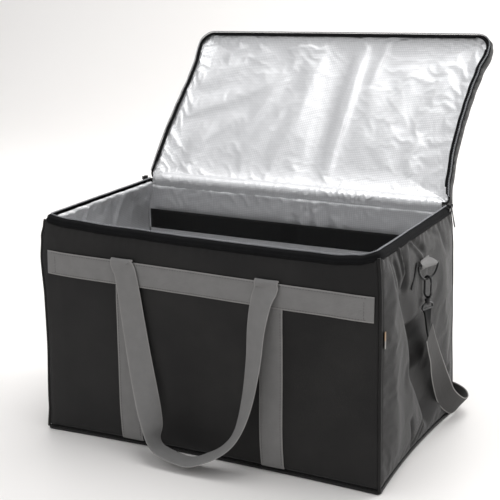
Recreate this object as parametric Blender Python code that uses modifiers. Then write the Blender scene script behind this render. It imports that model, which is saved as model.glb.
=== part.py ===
"""A large soft cooler bag with its lid thrown open, in metres, standing on the ground with its long side along X.

Padded cloth panels with piped seams, a foil lining, a lid on a cloth hinge with a two-slider zip, two webbing
handles and a shoulder strap on snap hooks. The origin is at the middle of the base, on the ground, front at -Y.
"""

import math

import bmesh
import bpy
from mathutils import Vector

# Driving dimensions of the body
RIM_WIDTH = 0.590
RIM_DEPTH = 0.338
HEIGHT = 0.378
WALL = 0.007
GAP = 0.0003
BASE_THICKNESS = 0.008
SIDE_FLARE = 0.012
DEPTH_FLARE = 0.010
BASE_DRAW = 0.009
CORNER_ROUND = 0.012
SEAM_EASE = 0.0012
BACK_EDGE = 0.003

# The rim, its zip and the piping
FRONT_SAG = 0.013
RIM_LIFT = 0.003
TAPE_HEIGHT = 0.011
TAPE_THICKNESS = 0.0016
TAPE_LEAN = 0.004
COIL_RADIUS = 0.0015
PIPING_RADIUS = 0.0026
PIPING_CLEAR = PIPING_RADIUS * 2 + GAP * 3
PANEL_FOOT = BASE_THICKNESS + SEAM_EASE

# The lining
FOIL = 0.0016
LINING_EASE = 0.0009
INNER_BAND_HEIGHT = 0.036
INNER_BAND_DROP = 0.058
INNER_BAND_THICKNESS = 0.002

# The lid, leaning back behind the rim
LID_LENGTH = 0.329
LID_DEPTH = 0.023
LID_WALL = 0.006
LID_INSET = 0.001
LEAN_LEFT = math.radians(40.5)
LEAN_RIGHT = math.radians(36.5)
LID_SWAY = 0.015
LID_FAR_ROUND = 0.028
LID_NEAR_ROUND = 0.010
GUSSET_THICKNESS = 0.003
LID_FOIL_EDGE = 0.0045
LID_FOIL_DISH = 0.0095

# The webbing on the body
WEBBING = 0.040
WEBBING_THICKNESS = 0.0016
BAND_DROP = 0.062
BAND_FALL = 0.004
BAND_END = 0.006
STRIP_SPACING = 0.258
STRIP_SHIFT = -0.007
HANDLE_DROP = 0.305
HANDLE_FALL = 0.006
HANDLE_STAND = 0.045
BACK_HANDLE_STAND = 0.030

# The hardware at both ends of the shoulder strap
TAB_PLACE_Y = 0.004
TAB_PLACE_Z = 0.318
TAB_TURN = math.radians(20)
TAB_STAND = 0.0118
RING_WIRE = 0.0018
RING_INSIDE = 0.044
TAB_WIDTH = 0.038
RING_DROP = 0.022
HOOK_WIRE = 0.0021
HOOK_LENGTH = 0.034
HOOK_WIDTH = 0.0125
GATE_WIRE = 0.0015
SWIVEL_RADIUS = 0.0048
SWIVEL_LENGTH = 0.009
STRAP_WIDTH = 0.038
STRAP_THICKNESS = 0.0018
STRAP_END_LENGTH = 0.050
STRAP_END_WIDTH = 0.020
TAIL_LENGTH = 0.046
TAIL_WIDTH = 0.007

# Zip sliders and their pulls
SLIDER_LENGTH = 0.013
SLIDER_WIDTH = 0.010
SLIDER_THICKNESS = 0.0045
PULL_LENGTH = 0.036
PULL_WIDTH = 0.006
PULL_THICKNESS = 0.0014
PULL_PIN = 0.0013
PULL_LEAN = math.radians(11)

# The small folded tab in the front right seam
LABEL_HEIGHT = 0.026
LABEL_WIDTH = 0.008
LABEL_PLACE_Z = 0.245

# Rows are: share of the height, left edge, right edge (shares of SIDE_FLARE), front and back (shares of DEPTH_FLARE)
UPRIGHT_EDGES = (
    (0.00, 1.00, 0.85, 1.00),
    (0.12, 0.72, 0.80, 0.88),
    (0.45, 0.55, 0.60, 0.55),
    (0.62, 0.66, 0.55, 0.40),
    (0.80, 1.00, 0.45, 0.25),
    (0.90, 0.80, 0.30, 0.12),
    (0.96, 0.35, 0.10, 0.05),
    (1.00, 0.00, 0.00, 0.00),
)

# The lid's sides bow. Rows are: share of its length, how far the left and right sides stand out, in LID_SWAY
LID_EDGES = (
    (0.00, 0.20, -0.30),
    (0.14, 0.25, -0.75),
    (0.30, 0.22, -1.00),
    (0.46, 0.00, -0.93),
    (0.56, -0.20, -0.78),
    (0.66, -0.42, -0.58),
    (0.78, -0.50, -0.20),
    (0.89, -0.32, 0.40),
    (1.00, -0.30, 0.52),
)

# Rows are: share of the front's width from the left, share of FRONT_SAG that the rim hangs there
FRONT_RIM = (
    (0.00, 0.00),
    (0.08, 0.42),
    (0.22, 0.68),
    (0.45, 0.90),
    (0.70, 1.00),
    (0.88, 0.98),
    (0.94, 0.72),
    (1.00, 0.00),
)

# Folds of the right panel. Rows are: the fold's two ends as shares of its depth (from the front) and of its height,
# its half-width as a share of its depth, and how far it goes in, as a share of FOLD_DEPTH
FOLD_DEPTH = 0.016
RIGHT_FOLDS = (
    (0.36, 0.84, 0.50, 0.42, 0.085, 0.55),
    (0.50, 0.62, 0.62, 0.18, 0.130, 1.00),
    (0.24, 0.96, 0.30, 0.74, 0.035, 0.42),
    (0.36, 0.97, 0.40, 0.78, 0.032, 0.50),
    (0.52, 0.97, 0.50, 0.80, 0.032, 0.38),
    (0.66, 0.96, 0.58, 0.80, 0.032, 0.26),
    (0.62, 0.14, 0.66, 0.02, 0.040, 0.40),
)
LEFT_FOLDS = (
    (0.40, 0.86, 0.46, 0.50, 0.110, 0.45),
    (0.55, 0.60, 0.55, 0.16, 0.150, 0.70),
)

# The handle's loop. Rows are: across (share of STRIP_SPACING from its middle), up (share of HANDLE_DROP below its
# top), out from the panel (share of HANDLE_STAND), and how far the webbing has turned, in degrees
HANDLE_ROUTE = (
    (-0.470, 0.060, 0.17, 3),
    (-0.420, 0.280, 0.26, 9),
    (-0.363, 0.505, 0.42, 18),
    (-0.300, 0.700, 0.62, 32),
    (-0.250, 0.840, 0.80, 60),
    (-0.225, 0.925, 0.93, 92),
    (-0.150, 0.968, 1.01, 104),
    (0.030, 0.990, 1.08, 106),
    (0.160, 0.950, 1.04, 109),
    (0.270, 0.890, 0.98, 114),
    (0.350, 0.800, 0.89, 124),
    (0.405, 0.660, 0.75, 137),
    (0.438, 0.450, 0.55, 148),
    (0.450, 0.248, 0.38, 158),
    (0.474, 0.100, 0.23, 169),
    (0.502, 0.035, 0.15, 177),
)

# The shoulder strap from the right end, in metres. Rows are: x, y, z and the direction of the webbing's width
STRAP_ROUTE = (
    (0.3150, 0.006, 0.206, -0.05, 0.98, 0.15),
    (0.3140, 0.022, 0.182, 0.00, 0.93, 0.25),
    (0.3130, 0.040, 0.158, 0.05, 0.85, 0.40),
    (0.3120, 0.062, 0.124, 0.25, 0.65, 0.64),
    (0.3120, 0.086, 0.090, 0.40, 0.50, 0.74),
    (0.3140, 0.112, 0.055, 0.50, 0.38, 0.76),
    (0.3190, 0.150, 0.027, 0.56, 0.28, 0.76),
    (0.3200, 0.178, 0.019, 0.58, 0.20, 0.76),
    (0.3110, 0.203, 0.020, 0.42, 0.06, 0.88),
    (0.2880, 0.222, 0.022, 0.10, -0.04, 1.00),
    (0.2450, 0.238, 0.022, 0.00, -0.04, 1.00),
    (0.1500, 0.242, 0.021, 0.00, 0.05, 1.00),
    (0.0000, 0.238, 0.021, 0.00, 0.08, 1.00),
    (-0.1500, 0.242, 0.021, 0.00, 0.05, 1.00),
    (-0.2450, 0.238, 0.022, 0.00, -0.04, 1.00),
    (-0.2880, 0.222, 0.022, -0.10, -0.04, 1.00),
    (-0.3110, 0.203, 0.020, -0.42, 0.06, 0.88),
    (-0.3200, 0.178, 0.019, -0.58, 0.20, 0.76),
    (-0.3190, 0.150, 0.027, -0.56, 0.28, 0.76),
    (-0.3140, 0.112, 0.055, -0.50, 0.38, 0.76),
    (-0.3120, 0.086, 0.090, -0.40, 0.50, 0.74),
    (-0.3120, 0.062, 0.124, -0.25, 0.65, 0.64),
    (-0.3130, 0.040, 0.158, -0.05, 0.85, 0.40),
    (-0.3140, 0.022, 0.182, 0.00, 0.93, 0.25),
    (-0.3150, 0.006, 0.206, 0.05, 0.98, 0.15),
)

COLOURS = {
    "polyester cloth": (0.020, 0.019, 0.019, 0.75, 0.0),
    "silver foil": (0.62, 0.63, 0.64, 0.35, 0.9),
    "grey webbing": (0.16, 0.16, 0.165, 0.85, 0.0),
    "black webbing": (0.012, 0.012, 0.012, 0.80, 0.0),
    "zip tape": (0.014, 0.014, 0.014, 0.80, 0.0),
    "black plastic": (0.010, 0.010, 0.010, 0.35, 0.0),
    "black enamelled metal": (0.012, 0.012, 0.012, 0.30, 0.6),
    "tan cloth": (0.36, 0.20, 0.09, 0.85, 0.0),
}


def clear_scene():
    for thing in list(bpy.data.objects):
        bpy.data.objects.remove(thing, do_unlink=True)


def read_table(table, at, column):
    """A table's column at a share between its rows, eased so that no corner shows at a row."""
    for low, high in zip(table, table[1:]):
        if at <= high[0]:
            t = (at - low[0]) / (high[0] - low[0])
            t = min(max(t, 0.0), 1.0)
            return low[column] + (high[column] - low[column]) * t * t * (3 - 2 * t)
    return table[-1][column]


def smooth_route(rows, steps):
    """A smooth curve through every row of numbers, with that many steps between two rows."""
    rows = [Vector(row) for row in rows]
    ends = [rows[0] * 2 - rows[1]] + rows + [rows[-1] * 2 - rows[-2]]
    out = []
    for a, b, c, d in zip(ends, ends[1:], ends[2:], ends[3:]):
        for step in range(steps):
            t = step / steps
            out.append(
                0.5 * ((b * 2) + (c - a) * t + (a * 2 - b * 5 + c * 4 - d) * t * t + (b * 3 - a - c * 3 + d) * t ** 3)
            )
    out.append(rows[-1])
    return out


# What every piece is made with


def material(name):
    if name in bpy.data.materials:
        return bpy.data.materials[name]
    made = bpy.data.materials.new(name)
    made.use_nodes = True
    red, green, blue, rough, metal = COLOURS[name]
    shader = made.node_tree.nodes["Principled BSDF"]
    shader.inputs["Base Color"].default_value = (red, green, blue, 1.0)
    shader.inputs["Roughness"].default_value = rough
    shader.inputs["Metallic"].default_value = metal
    return made


def add_mesh(name, points, faces, finish, collection):
    mesh = bpy.data.meshes.new(name)
    mesh.from_pydata([tuple(p) for p in points], [], faces)
    work = bmesh.new()
    work.from_mesh(mesh)
    bmesh.ops.recalc_face_normals(work, faces=work.faces)
    work.to_mesh(mesh)
    work.free()
    mesh.materials.append(material(finish))
    mesh.shade_smooth()
    mesh.set_sharp_from_angle(angle=math.radians(35))
    piece = bpy.data.objects.new(name, mesh)
    collection.objects.link(piece)
    return piece


def grid_faces(rows, columns, closed=False):
    """Four-sided faces between rows of points, with the last column joined to the first when closed."""
    faces = []
    for r in range(rows - 1):
        for c in range(columns if closed else columns - 1):
            n = (c + 1) % columns
            faces.append((r * columns + c, r * columns + n, (r + 1) * columns + n, (r + 1) * columns + c))
    return faces


def add_sheet(name, grid, thickness, side, finish, collection, closed=False, cap=False):
    """An open surface from rows of points, thickened to one side (1 or -1) or about its middle (0)."""
    points = [p for row in grid for p in row]
    faces = grid_faces(len(grid), len(grid[0]), closed)
    if cap:
        last = (len(grid) - 1) * len(grid[0])
        faces.append(tuple(range(last, last + len(grid[0]))))
    mesh = bpy.data.meshes.new(name)
    mesh.from_pydata([tuple(p) for p in points], [], faces)
    mesh.materials.append(material(finish))
    mesh.shade_smooth()
    mesh.set_sharp_from_angle(angle=math.radians(50))
    piece = bpy.data.objects.new(name, mesh)
    collection.objects.link(piece)
    thicken = piece.modifiers.new("thickness", "SOLIDIFY")
    thicken.thickness = thickness
    thicken.offset = side
    thicken.use_even_offset = True
    return piece


def add_ribbon(name, route, width, thickness, finish, collection):
    """Webbing along a route. A row of the route is the middle's place and the direction of the width."""
    low, high = [], []
    for n, row in enumerate(route):
        here = Vector(row[:3])
        after = Vector(route[min(n + 1, len(route) - 1)][:3])
        before = Vector(route[max(n - 1, 0)][:3])
        along = (after - before).normalized()
        across = Vector(row[3:6])
        across = (across - along * across.dot(along)).normalized()
        low.append(here - across * width / 2)
        high.append(here + across * width / 2)
    return add_sheet(name, [low, high], thickness, 0, finish, collection)


def add_tube(name, route, radius, finish, collection, closed=False, fineness=2):
    """A round cord or wire along a route, as a mesh with welded ends."""
    curve = bpy.data.curves.new(name, "CURVE")
    curve.dimensions = "3D"
    curve.bevel_depth = radius
    curve.bevel_resolution = fineness
    curve.use_fill_caps = not closed
    line = curve.splines.new("POLY")
    line.points.add(len(route) - 1)
    for point, place in zip(line.points, route):
        point.co = (*place, 1.0)
    line.use_cyclic_u = closed
    guide = bpy.data.objects.new(name + "_guide", curve)
    collection.objects.link(guide)
    seen = guide.evaluated_get(bpy.context.evaluated_depsgraph_get())
    mesh = bpy.data.meshes.new_from_object(seen)
    bpy.data.objects.remove(guide, do_unlink=True)
    bpy.data.curves.remove(curve)
    mesh.name = name
    work = bmesh.new()
    work.from_mesh(mesh)
    bmesh.ops.remove_doubles(work, verts=work.verts, dist=0.00002)
    bmesh.ops.recalc_face_normals(work, faces=work.faces)
    work.to_mesh(mesh)
    work.free()
    mesh.materials.clear()
    mesh.materials.append(material(finish))
    mesh.shade_smooth()
    mesh.set_sharp_from_angle(angle=math.radians(50))
    piece = bpy.data.objects.new(name, mesh)
    collection.objects.link(piece)
    return piece


def add_block(name, size, place, finish, collection):
    """A rectangular block."""
    mesh = bpy.data.meshes.new(name)
    work = bmesh.new()
    bmesh.ops.create_cube(work, size=1.0)
    bmesh.ops.scale(work, vec=size, verts=work.verts)
    work.to_mesh(mesh)
    work.free()
    mesh.materials.append(material(finish))
    piece = bpy.data.objects.new(name, mesh)
    collection.objects.link(piece)
    piece.location = place
    return piece


# The body's outside, as four surfaces that the panels, lining, webbing and piping share


def fold_depth(folds, along, up):
    """How far the folds draw a side panel in, at shares of its depth and of its height."""
    drawn = 0.0
    for along_a, up_a, along_b, up_b, spread, depth in folds:
        line = Vector((along_b - along_a, (up_b - up_a)))
        spot = Vector((along - along_a, up - up_a))
        t = min(max(spot.dot(line) / line.dot(line), 0.0), 1.0)
        away = (spot - line * t).length / spread
        drawn = max(drawn, depth * math.exp(-away * away * 1.6))
    return drawn * FOLD_DEPTH


def hem_draw(across, up):
    """The panels' lower edges are drawn in between the corners."""
    return BASE_DRAW * max(0.0, 1 - across * across) * max(0.0, 1 - up / 0.35) ** 2


def edge_x(side, up):
    column = 1 if side < 0 else 2
    return side * (RIM_WIDTH / 2 + SIDE_FLARE * read_table(UPRIGHT_EDGES, up, column))


def edge_y(side, up):
    return side * (RIM_DEPTH / 2 + DEPTH_FLARE * read_table(UPRIGHT_EDGES, up, 3))


def long_face(side, x, up):
    """The y of the front (-1) or back (1) panel's outside."""
    across = x / (RIM_WIDTH / 2 + SIDE_FLARE)
    return edge_y(side, up) - side * hem_draw(across, up)


def side_face(side, y, up):
    """The x of the left (-1) or right (1) panel's outside."""
    across = y / (RIM_DEPTH / 2 + DEPTH_FLARE)
    folds = RIGHT_FOLDS if side > 0 else LEFT_FOLDS
    edge_fade = max(0.0, 1 - abs(across) ** 6)
    top_fade = min(1.0, (1 - up) / 0.04)
    drawn = fold_depth(folds, (across + 1) / 2, up) * edge_fade * max(top_fade, 0.0)
    return edge_x(side, up) - side * (drawn + hem_draw(across, up))


def front_rim_z(x):
    across = min(max(x / RIM_WIDTH + 0.5, 0.0), 1.0)
    return HEIGHT + RIM_LIFT - FRONT_SAG * read_table(FRONT_RIM, across, 1)


def side_rim_z(y):
    """The rim's sides run from the raised front corners to the hinge."""
    share = (RIM_DEPTH / 2 - y) / RIM_DEPTH
    return HEIGHT + RIM_LIFT * share


def spaced(low, high, count):
    return [low + (high - low) * n / (count - 1) for n in range(count)]


# Body


def build_long_panel(name, side, collection):
    """The front or back panel, between the corner pipings."""
    grid = []
    for level in spaced(0.0, 1.0, 9):
        row = []
        for share in spaced(-1.0, 1.0, 15):
            top = front_rim_z(share * RIM_WIDTH / 2) - TAPE_HEIGHT if side < 0 else HEIGHT - BACK_EDGE
            z = PANEL_FOOT + level * (top - PANEL_FOOT)
            end = -1 if share < 0 else 1
            x = abs(share) * (edge_x(end, z / HEIGHT) - end * PIPING_CLEAR)
            row.append((x, long_face(side, x, z / HEIGHT), z))
        grid.append(row)
    return add_sheet(name, grid, WALL, side, "polyester cloth", collection)


def build_side_panel(name, side, collection, columns, rows):
    """The left or right panel, between the front and back panels."""
    grid = []
    for level in spaced(0.0, 1.0, rows):
        row = []
        for share in spaced(-1.0, 1.0, columns):
            z = PANEL_FOOT + level * (side_rim_z(share * RIM_DEPTH / 2) - TAPE_HEIGHT - PANEL_FOOT)
            y = share * (edge_y(1, z / HEIGHT) - WALL - SEAM_EASE)
            row.append((side_face(side, y, z / HEIGHT), y, z))
        grid.append(row)
    return add_sheet(name, grid, WALL, -side, "polyester cloth", collection)


def base_outline(inset, count_long, count_short):
    """Points round the base, following the panels' lower edges."""
    points = []
    half_x = abs(edge_x(-1, 0)) - inset
    half_y = abs(edge_y(1, 0)) - inset
    right_x = abs(edge_x(1, 0)) - inset
    cut = CORNER_ROUND * 0.35
    for share in spaced(-1.0, 1.0, count_long):
        x = share * (right_x if share > 0 else half_x) - math.copysign(cut, share) * (abs(share) == 1)
        points.append((x, long_face(-1, x, 0) + inset))
    for share in spaced(-1.0, 1.0, count_short):
        y = share * half_y - math.copysign(cut, share) * (abs(share) == 1)
        points.append((side_face(1, y, 0) - inset, y))
    for share in spaced(1.0, -1.0, count_long):
        x = share * (right_x if share > 0 else half_x) - math.copysign(cut, share) * (abs(share) == 1)
        points.append((x, long_face(1, x, 0) - inset))
    for share in spaced(1.0, -1.0, count_short):
        y = share * half_y - math.copysign(cut, share) * (abs(share) == 1)
        points.append((side_face(-1, y, 0) + inset, y))
    return points


def build_base(collection):
    """The stiffened base panel, flat on the ground."""
    outline = base_outline(PIPING_RADIUS * 2 + GAP, 11, 9)
    grid = [[(x * share, y * share, BASE_THICKNESS) for x, y in outline] for share in (1.0, 0.75)]
    return add_sheet("base_panel", grid, BASE_THICKNESS, -1, "polyester cloth", collection, True, True)


def build_pipings(collection):
    """Round piping in the four upright seams and round the base."""
    for end, side_x in (("left", -1), ("right", 1)):
        for face, side_y in (("front", -1), ("back", 1)):
            route = []
            top = HEIGHT + RIM_LIFT - TAPE_HEIGHT + GAP * 2 if side_y < 0 else HEIGHT - BACK_EDGE
            for z in spaced(PANEL_FOOT, top, 10):
                x = edge_x(side_x, z / HEIGHT) - side_x * PIPING_RADIUS
                y = edge_y(side_y, z / HEIGHT) - side_y * PIPING_RADIUS
                route.append((x, y, z))
            add_tube(f"piping_{face}_{end}", route, PIPING_RADIUS, "polyester cloth", collection)
    route = [(x, y, PIPING_RADIUS + GAP) for x, y in base_outline(PIPING_RADIUS, 11, 9)]
    add_tube("piping_base", route, PIPING_RADIUS, "polyester cloth", collection, closed=True, fineness=1)


def tucked_face(side, y, up):
    """The innermost that a side panel's folds come near a place, so that the lining clears them all."""
    reach = FOLD_DEPTH * 2
    steps = (-1, -0.5, 0, 0.5, 1)
    spots = [(y + along * reach, up + rise * reach / HEIGHT) for along in steps for rise in steps]
    limit = edge_y(1, up) * 0.97
    return side * min(side * side_face(side, min(max(a, -limit), limit), min(max(b, 0), 1)) for a, b in spots)


def lining_top(side, x, y):
    """The lining is sewn in under the zip tape, and under the hinge at the back."""
    if y >= RIM_DEPTH / 2 - CORNER_ROUND and abs(x) < RIM_WIDTH / 2 - CORNER_ROUND:
        return HEIGHT - BACK_EDGE * 4
    rim = front_rim_z(x) if side < 0 else side_rim_z(y)
    return rim - TAPE_HEIGHT * 0.85


def lining_ring(level, inset, count_long=11, count_short=8):
    """A ring of points just inside the panels, at a height, or under the rim where no height is given."""
    points = []
    for side in (-1, 1):
        for share in spaced(0.0, 1.0, count_long):
            share = 0.012 + 0.976 * (share if side < 0 else 1 - share)
            near_x, near_y = (share - 0.5) * RIM_WIDTH, side * RIM_DEPTH / 2
            z = lining_top(side, near_x, near_y) if level is None else level
            up = z / HEIGHT
            reach_l, reach_r = edge_x(-1, up) + inset, edge_x(1, up) - inset
            x = reach_l + (reach_r - reach_l) * share
            points.append((x, long_face(side, x, up) - side * inset, z))
        for share in spaced(-1.0, 1.0, count_short):
            turn = 1 if side < 0 else -1
            z = side_rim_z(-share * side * RIM_DEPTH / 2) - TAPE_HEIGHT * 0.85 if level is None else level
            up = z / HEIGHT
            y = share * (edge_y(1, up) - inset) * 0.96 * -side
            points.append((tucked_face(turn, y, up) - turn * inset, y, z))
    return points


def build_lining(collection):
    """The foil lining: an open box inside the panels, sewn in at the rim."""
    inset = WALL + LINING_EASE
    floor = BASE_THICKNESS + GAP
    levels = [None] + spaced(HEIGHT * 0.90, floor + 0.012, 5) + [floor]
    grid = [lining_ring(z, inset + (0.006 if n == len(levels) - 1 else 0.0)) for n, z in enumerate(levels)]
    grid.append([(x * 0.8, y * 0.8, z) for x, y, z in grid[-1]])
    return add_sheet("foil_lining", grid, FOIL, 1, "silver foil", collection, closed=True, cap=True)


def build_lining_band(collection):
    """The black strip sewn across the lining of the back wall."""
    inset = WALL + LINING_EASE + FOIL + GAP * 3 + INNER_BAND_THICKNESS / 2
    grid = []
    for level in (0.0, 1.0):
        z = HEIGHT - INNER_BAND_DROP - INNER_BAND_HEIGHT * (1 - level)
        up = z / HEIGHT
        row = []
        for share in spaced(-1.0, 1.0, 9):
            x = abs(share) * (edge_x(-1 if share < 0 else 1, up) - math.copysign(inset + CORNER_ROUND / 2, share))
            row.append((x, long_face(1, x, up) - inset, z))
        grid.append(row)
    return add_sheet("lining_band", grid, INNER_BAND_THICKNESS, 0, "black webbing", collection)


def rim_route(inset, lift, back_end):
    """Points along the left, front and right of the rim, with rounded front corners."""
    half_x, half_y = RIM_WIDTH / 2 - inset, RIM_DEPTH / 2 - inset
    bend = CORNER_ROUND - inset / 2
    points = []
    for y in spaced(RIM_DEPTH / 2 - back_end, -half_y + bend, 6):
        points.append((-half_x, y, side_rim_z(y) + lift))
    for turn in (30, 60):
        a = math.radians(turn)
        x, y = -half_x + bend * (1 - math.cos(a)), -half_y + bend * (1 - math.sin(a))
        points.append((x, y, front_rim_z(x) + lift))
    for x in spaced(-half_x + bend, half_x - bend, 13):
        points.append((x, -half_y, front_rim_z(x) + lift))
    mirrored = [(-x, y, (side_rim_z(y) if n < 6 else front_rim_z(-x)) + lift) for n, (x, y, z) in enumerate(points[:8])]
    return points + mirrored[::-1]


def build_rim(collection):
    """The body's half of the zip: cloth tape that leans in, with the coil along its upper edge."""
    low = rim_route(WALL / 2, GAP * 7 - TAPE_HEIGHT, SLIDER_WIDTH)
    high = rim_route(WALL / 2 + TAPE_LEAN, -COIL_RADIUS * 2 - GAP * 3, SLIDER_WIDTH)
    add_sheet("body_zip_tape", [low, high], TAPE_THICKNESS, 0, "zip tape", collection)
    coil = rim_route(WALL / 2 + TAPE_LEAN, -COIL_RADIUS, SLIDER_WIDTH)
    add_tube("body_zip_coil", coil, COIL_RADIUS, "zip tape", collection, fineness=1)


# Lid


LID_LINES = (-1.0, -0.96, -0.85, -0.6, -0.3, 0.0, 0.3, 0.6, 0.85, 0.96, 1.0)


def lid_point(across, along, depth):
    """A place in the lid: across from its middle, along from the hinge, and depth towards its open side."""
    share = across / RIM_WIDTH + 0.5
    lean = LEAN_LEFT + (LEAN_RIGHT - LEAN_LEFT) * share
    bow = read_table(LID_EDGES, min(max(along / LID_LENGTH, 0.0), 1.0), 1 if across < 0 else 2)
    x = across * (1 + bow * LID_SWAY * 2 / RIM_WIDTH)
    y = RIM_DEPTH / 2 + along * math.sin(lean) - depth * math.cos(lean)
    z = HEIGHT + along * math.cos(lean) + depth * math.sin(lean)
    return x, y, z


def lid_ring(inset, per_side=6):
    """Round the lid's outline from its near left corner, as places across and along."""
    half, near, far = RIM_WIDTH / 2 - LID_INSET - inset, LID_INSET + inset, LID_LENGTH - inset
    points = []
    corners = (
        (half, near, LID_NEAR_ROUND, -90),
        (half, far, LID_FAR_ROUND, 0),
        (-half, far, LID_FAR_ROUND, 90),
        (-half, near, LID_NEAR_ROUND, 180),
    )
    for x, along, radius, start in corners:
        radius = max(radius - inset, 0.002)
        middle_x = x - math.copysign(radius, x)
        middle_s = along + radius if along == near else along - radius
        for step in range(5):
            a = math.radians(start + 90 * step / 4)
            points.append((middle_x + radius * math.cos(a), middle_s + radius * math.sin(a)))
    out = []
    for n, (x, s) in enumerate(points):
        nx, ns = points[(n + 1) % len(points)]
        out.append((x, s))
        if math.hypot(nx - x, ns - s) > LID_LENGTH / 4:
            out += [(x + (nx - x) * k / per_side, s + (ns - s) * k / per_side) for k in range(1, per_side)]
    return out


def lid_grid(inset, depth_at):
    """Rows of points over the lid with its corners rounded; depth_at gives the depth at two shares from -1 to 1."""
    half, middle = RIM_WIDTH / 2 - LID_INSET - inset, LID_LENGTH / 2
    reach = middle - inset
    grid = []
    for up in LID_LINES:
        row = []
        for across in LID_LINES:
            radius = (LID_FAR_ROUND if up > 0 else LID_NEAR_ROUND) - inset
            x, s = across * half, up * reach
            away = Vector((max(abs(x) - half + radius, 0), max(abs(s) - reach + radius, 0)))
            if away.x > 0 and away.y > 0:
                away *= max(away) / away.length
                x = math.copysign(half - radius + away.x, x)
                s = math.copysign(reach - radius + away.y, s)
            row.append(lid_point(x, middle + LID_INSET / 2 + s, depth_at(across, up)))
        grid.append(row)
    return grid


def foil_depth(across, up):
    """The lid's foil is sewn in at its edge and dished behind it."""
    edge = max(abs(across), abs(up))
    return -LID_FOIL_EDGE - LID_FOIL_DISH * min(1.0, (1 - edge) / 0.15) ** 0.7


def build_lid(collection):
    """The padded lid panel, the cloth band round it and its foil."""
    ring = lid_ring(0.0)
    panel = lid_grid(0.0, lambda across, up: -LID_DEPTH)
    add_sheet("lid_panel", panel, LID_WALL, 1, "polyester cloth", collection)
    band = []
    for depth in (LID_WALL + GAP * 2 - LID_DEPTH, -TAPE_HEIGHT * 0.7):
        band.append([lid_point(x, s, depth) for x, s in ring])
    add_sheet("lid_gusset", band, GUSSET_THICKNESS, -1, "polyester cloth", collection, closed=True)
    foil = lid_grid(GUSSET_THICKNESS + GAP * 2, foil_depth)
    add_sheet("lid_foil", foil, FOIL, 1, "silver foil", collection)


def lid_edge(inset, depth, back_end):
    """Points along the left, far and right edges of the lid, from one zip end to the other."""
    ring = [p for p in lid_ring(inset) if p[1] > back_end]
    start = min(range(len(ring)), key=lambda n: (ring[n][0] > 0, ring[n][1]))
    ring = ring[start:] + ring[:start]
    if ring[1][1] < ring[0][1] or ring[1][0] > 0:
        ring = [ring[0]] + ring[:0:-1]
    return [lid_point(x, s, depth) for x, s in ring]


def build_lid_zip(collection):
    """The lid's half of the zip, along three of its edges."""
    low = lid_edge(GUSSET_THICKNESS / 2, GAP * 2 + TAPE_THICKNESS / 4 - TAPE_HEIGHT * 0.7, LID_NEAR_ROUND * 1.05)
    high = lid_edge(GUSSET_THICKNESS / 2, -GAP, LID_NEAR_ROUND * 1.05)
    add_sheet("lid_zip_tape", [low, high], TAPE_THICKNESS, 0, "zip tape", collection)
    coil = lid_edge(GUSSET_THICKNESS / 2, COIL_RADIUS + GAP, LID_NEAR_ROUND * 1.05)
    add_tube("lid_zip_coil", coil, COIL_RADIUS, "zip tape", collection, fineness=1)


def build_hinge(collection):
    """The cloth that joins the lid to the back panel, and the roll of foil that covers it inside."""
    half = RIM_WIDTH / 2 - LID_NEAR_ROUND * 2
    top = HEIGHT - BACK_EDGE + GAP + TAPE_THICKNESS / 2
    cloth, foil = [], []
    for x in spaced(-half, half, 12):
        far = lid_point(x, LID_INSET + GUSSET_THICKNESS / 2, GAP + TAPE_THICKNESS / 2 - TAPE_HEIGHT * 0.7)
        near_y = RIM_DEPTH / 2 - WALL / 2
        cloth.append([(x, near_y, top), (x, (near_y + far[1]) / 2, top + TAPE_THICKNESS), far])
        lining_y = near_y - WALL / 2 - LINING_EASE - FOIL / 2
        end = lid_point(x, LID_INSET + GUSSET_THICKNESS + LINING_EASE * 5, GAP * 4)
        start_z = HEIGHT - BACK_EDGE * 3
        roll = (end[1] + lining_y) / 2 - FOIL
        foil.append([(x, lining_y, start_z), (x, lining_y, HEIGHT + FOIL * 2), (x, roll, HEIGHT + FOIL * 4), end])
    add_sheet("hinge_cloth", cloth, TAPE_THICKNESS, 0, "polyester cloth", collection)
    add_sheet("hinge_foil", foil, FOIL, 0, "silver foil", collection)


# Webbing on the body


def band_middle_z(x):
    """The cross band follows the rim and falls a little towards the right."""
    share = x / RIM_WIDTH + 0.5
    return HEIGHT - BAND_DROP - WEBBING / 2 + BAND_FALL - BAND_FALL * 2 * share


def build_band(face, side, collection):
    """Webbing sewn across the front or back panel."""
    grid = []
    off = GAP + WEBBING_THICKNESS / 2
    half = RIM_WIDTH / 2 - BAND_END
    for edge in (-0.5, 0.5):
        row = []
        for x in spaced(-half, half, 17):
            z = band_middle_z(x) + edge * WEBBING
            row.append((x, long_face(side, x, z / HEIGHT) + side * off, z))
        grid.append(row)
    add_sheet(f"{face}_band", grid, WEBBING_THICKNESS, 0, "grey webbing", collection)


def build_strips(face, side, collection):
    """Upright webbing below the band: the sewn-down ends of the handle."""
    off = GAP + WEBBING_THICKNESS / 2
    for end, turn in (("left", -1), ("right", 1)):
        middle = STRIP_SHIFT + turn * STRIP_SPACING / 2
        grid = []
        for level in spaced(0.0, 1.0, 9):
            row = []
            for edge in (-0.5, 0.5):
                x = middle + edge * WEBBING
                top = band_middle_z(middle) - WEBBING / 2 - GAP * 3
                foot = PANEL_FOOT + GAP
                z = foot + (top - foot) * level
                row.append((x, long_face(side, x, z / HEIGHT) + side * off, z))
            grid.append(row)
        add_sheet(f"{face}_strip_{end}", grid, WEBBING_THICKNESS, 0, "grey webbing", collection)


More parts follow.
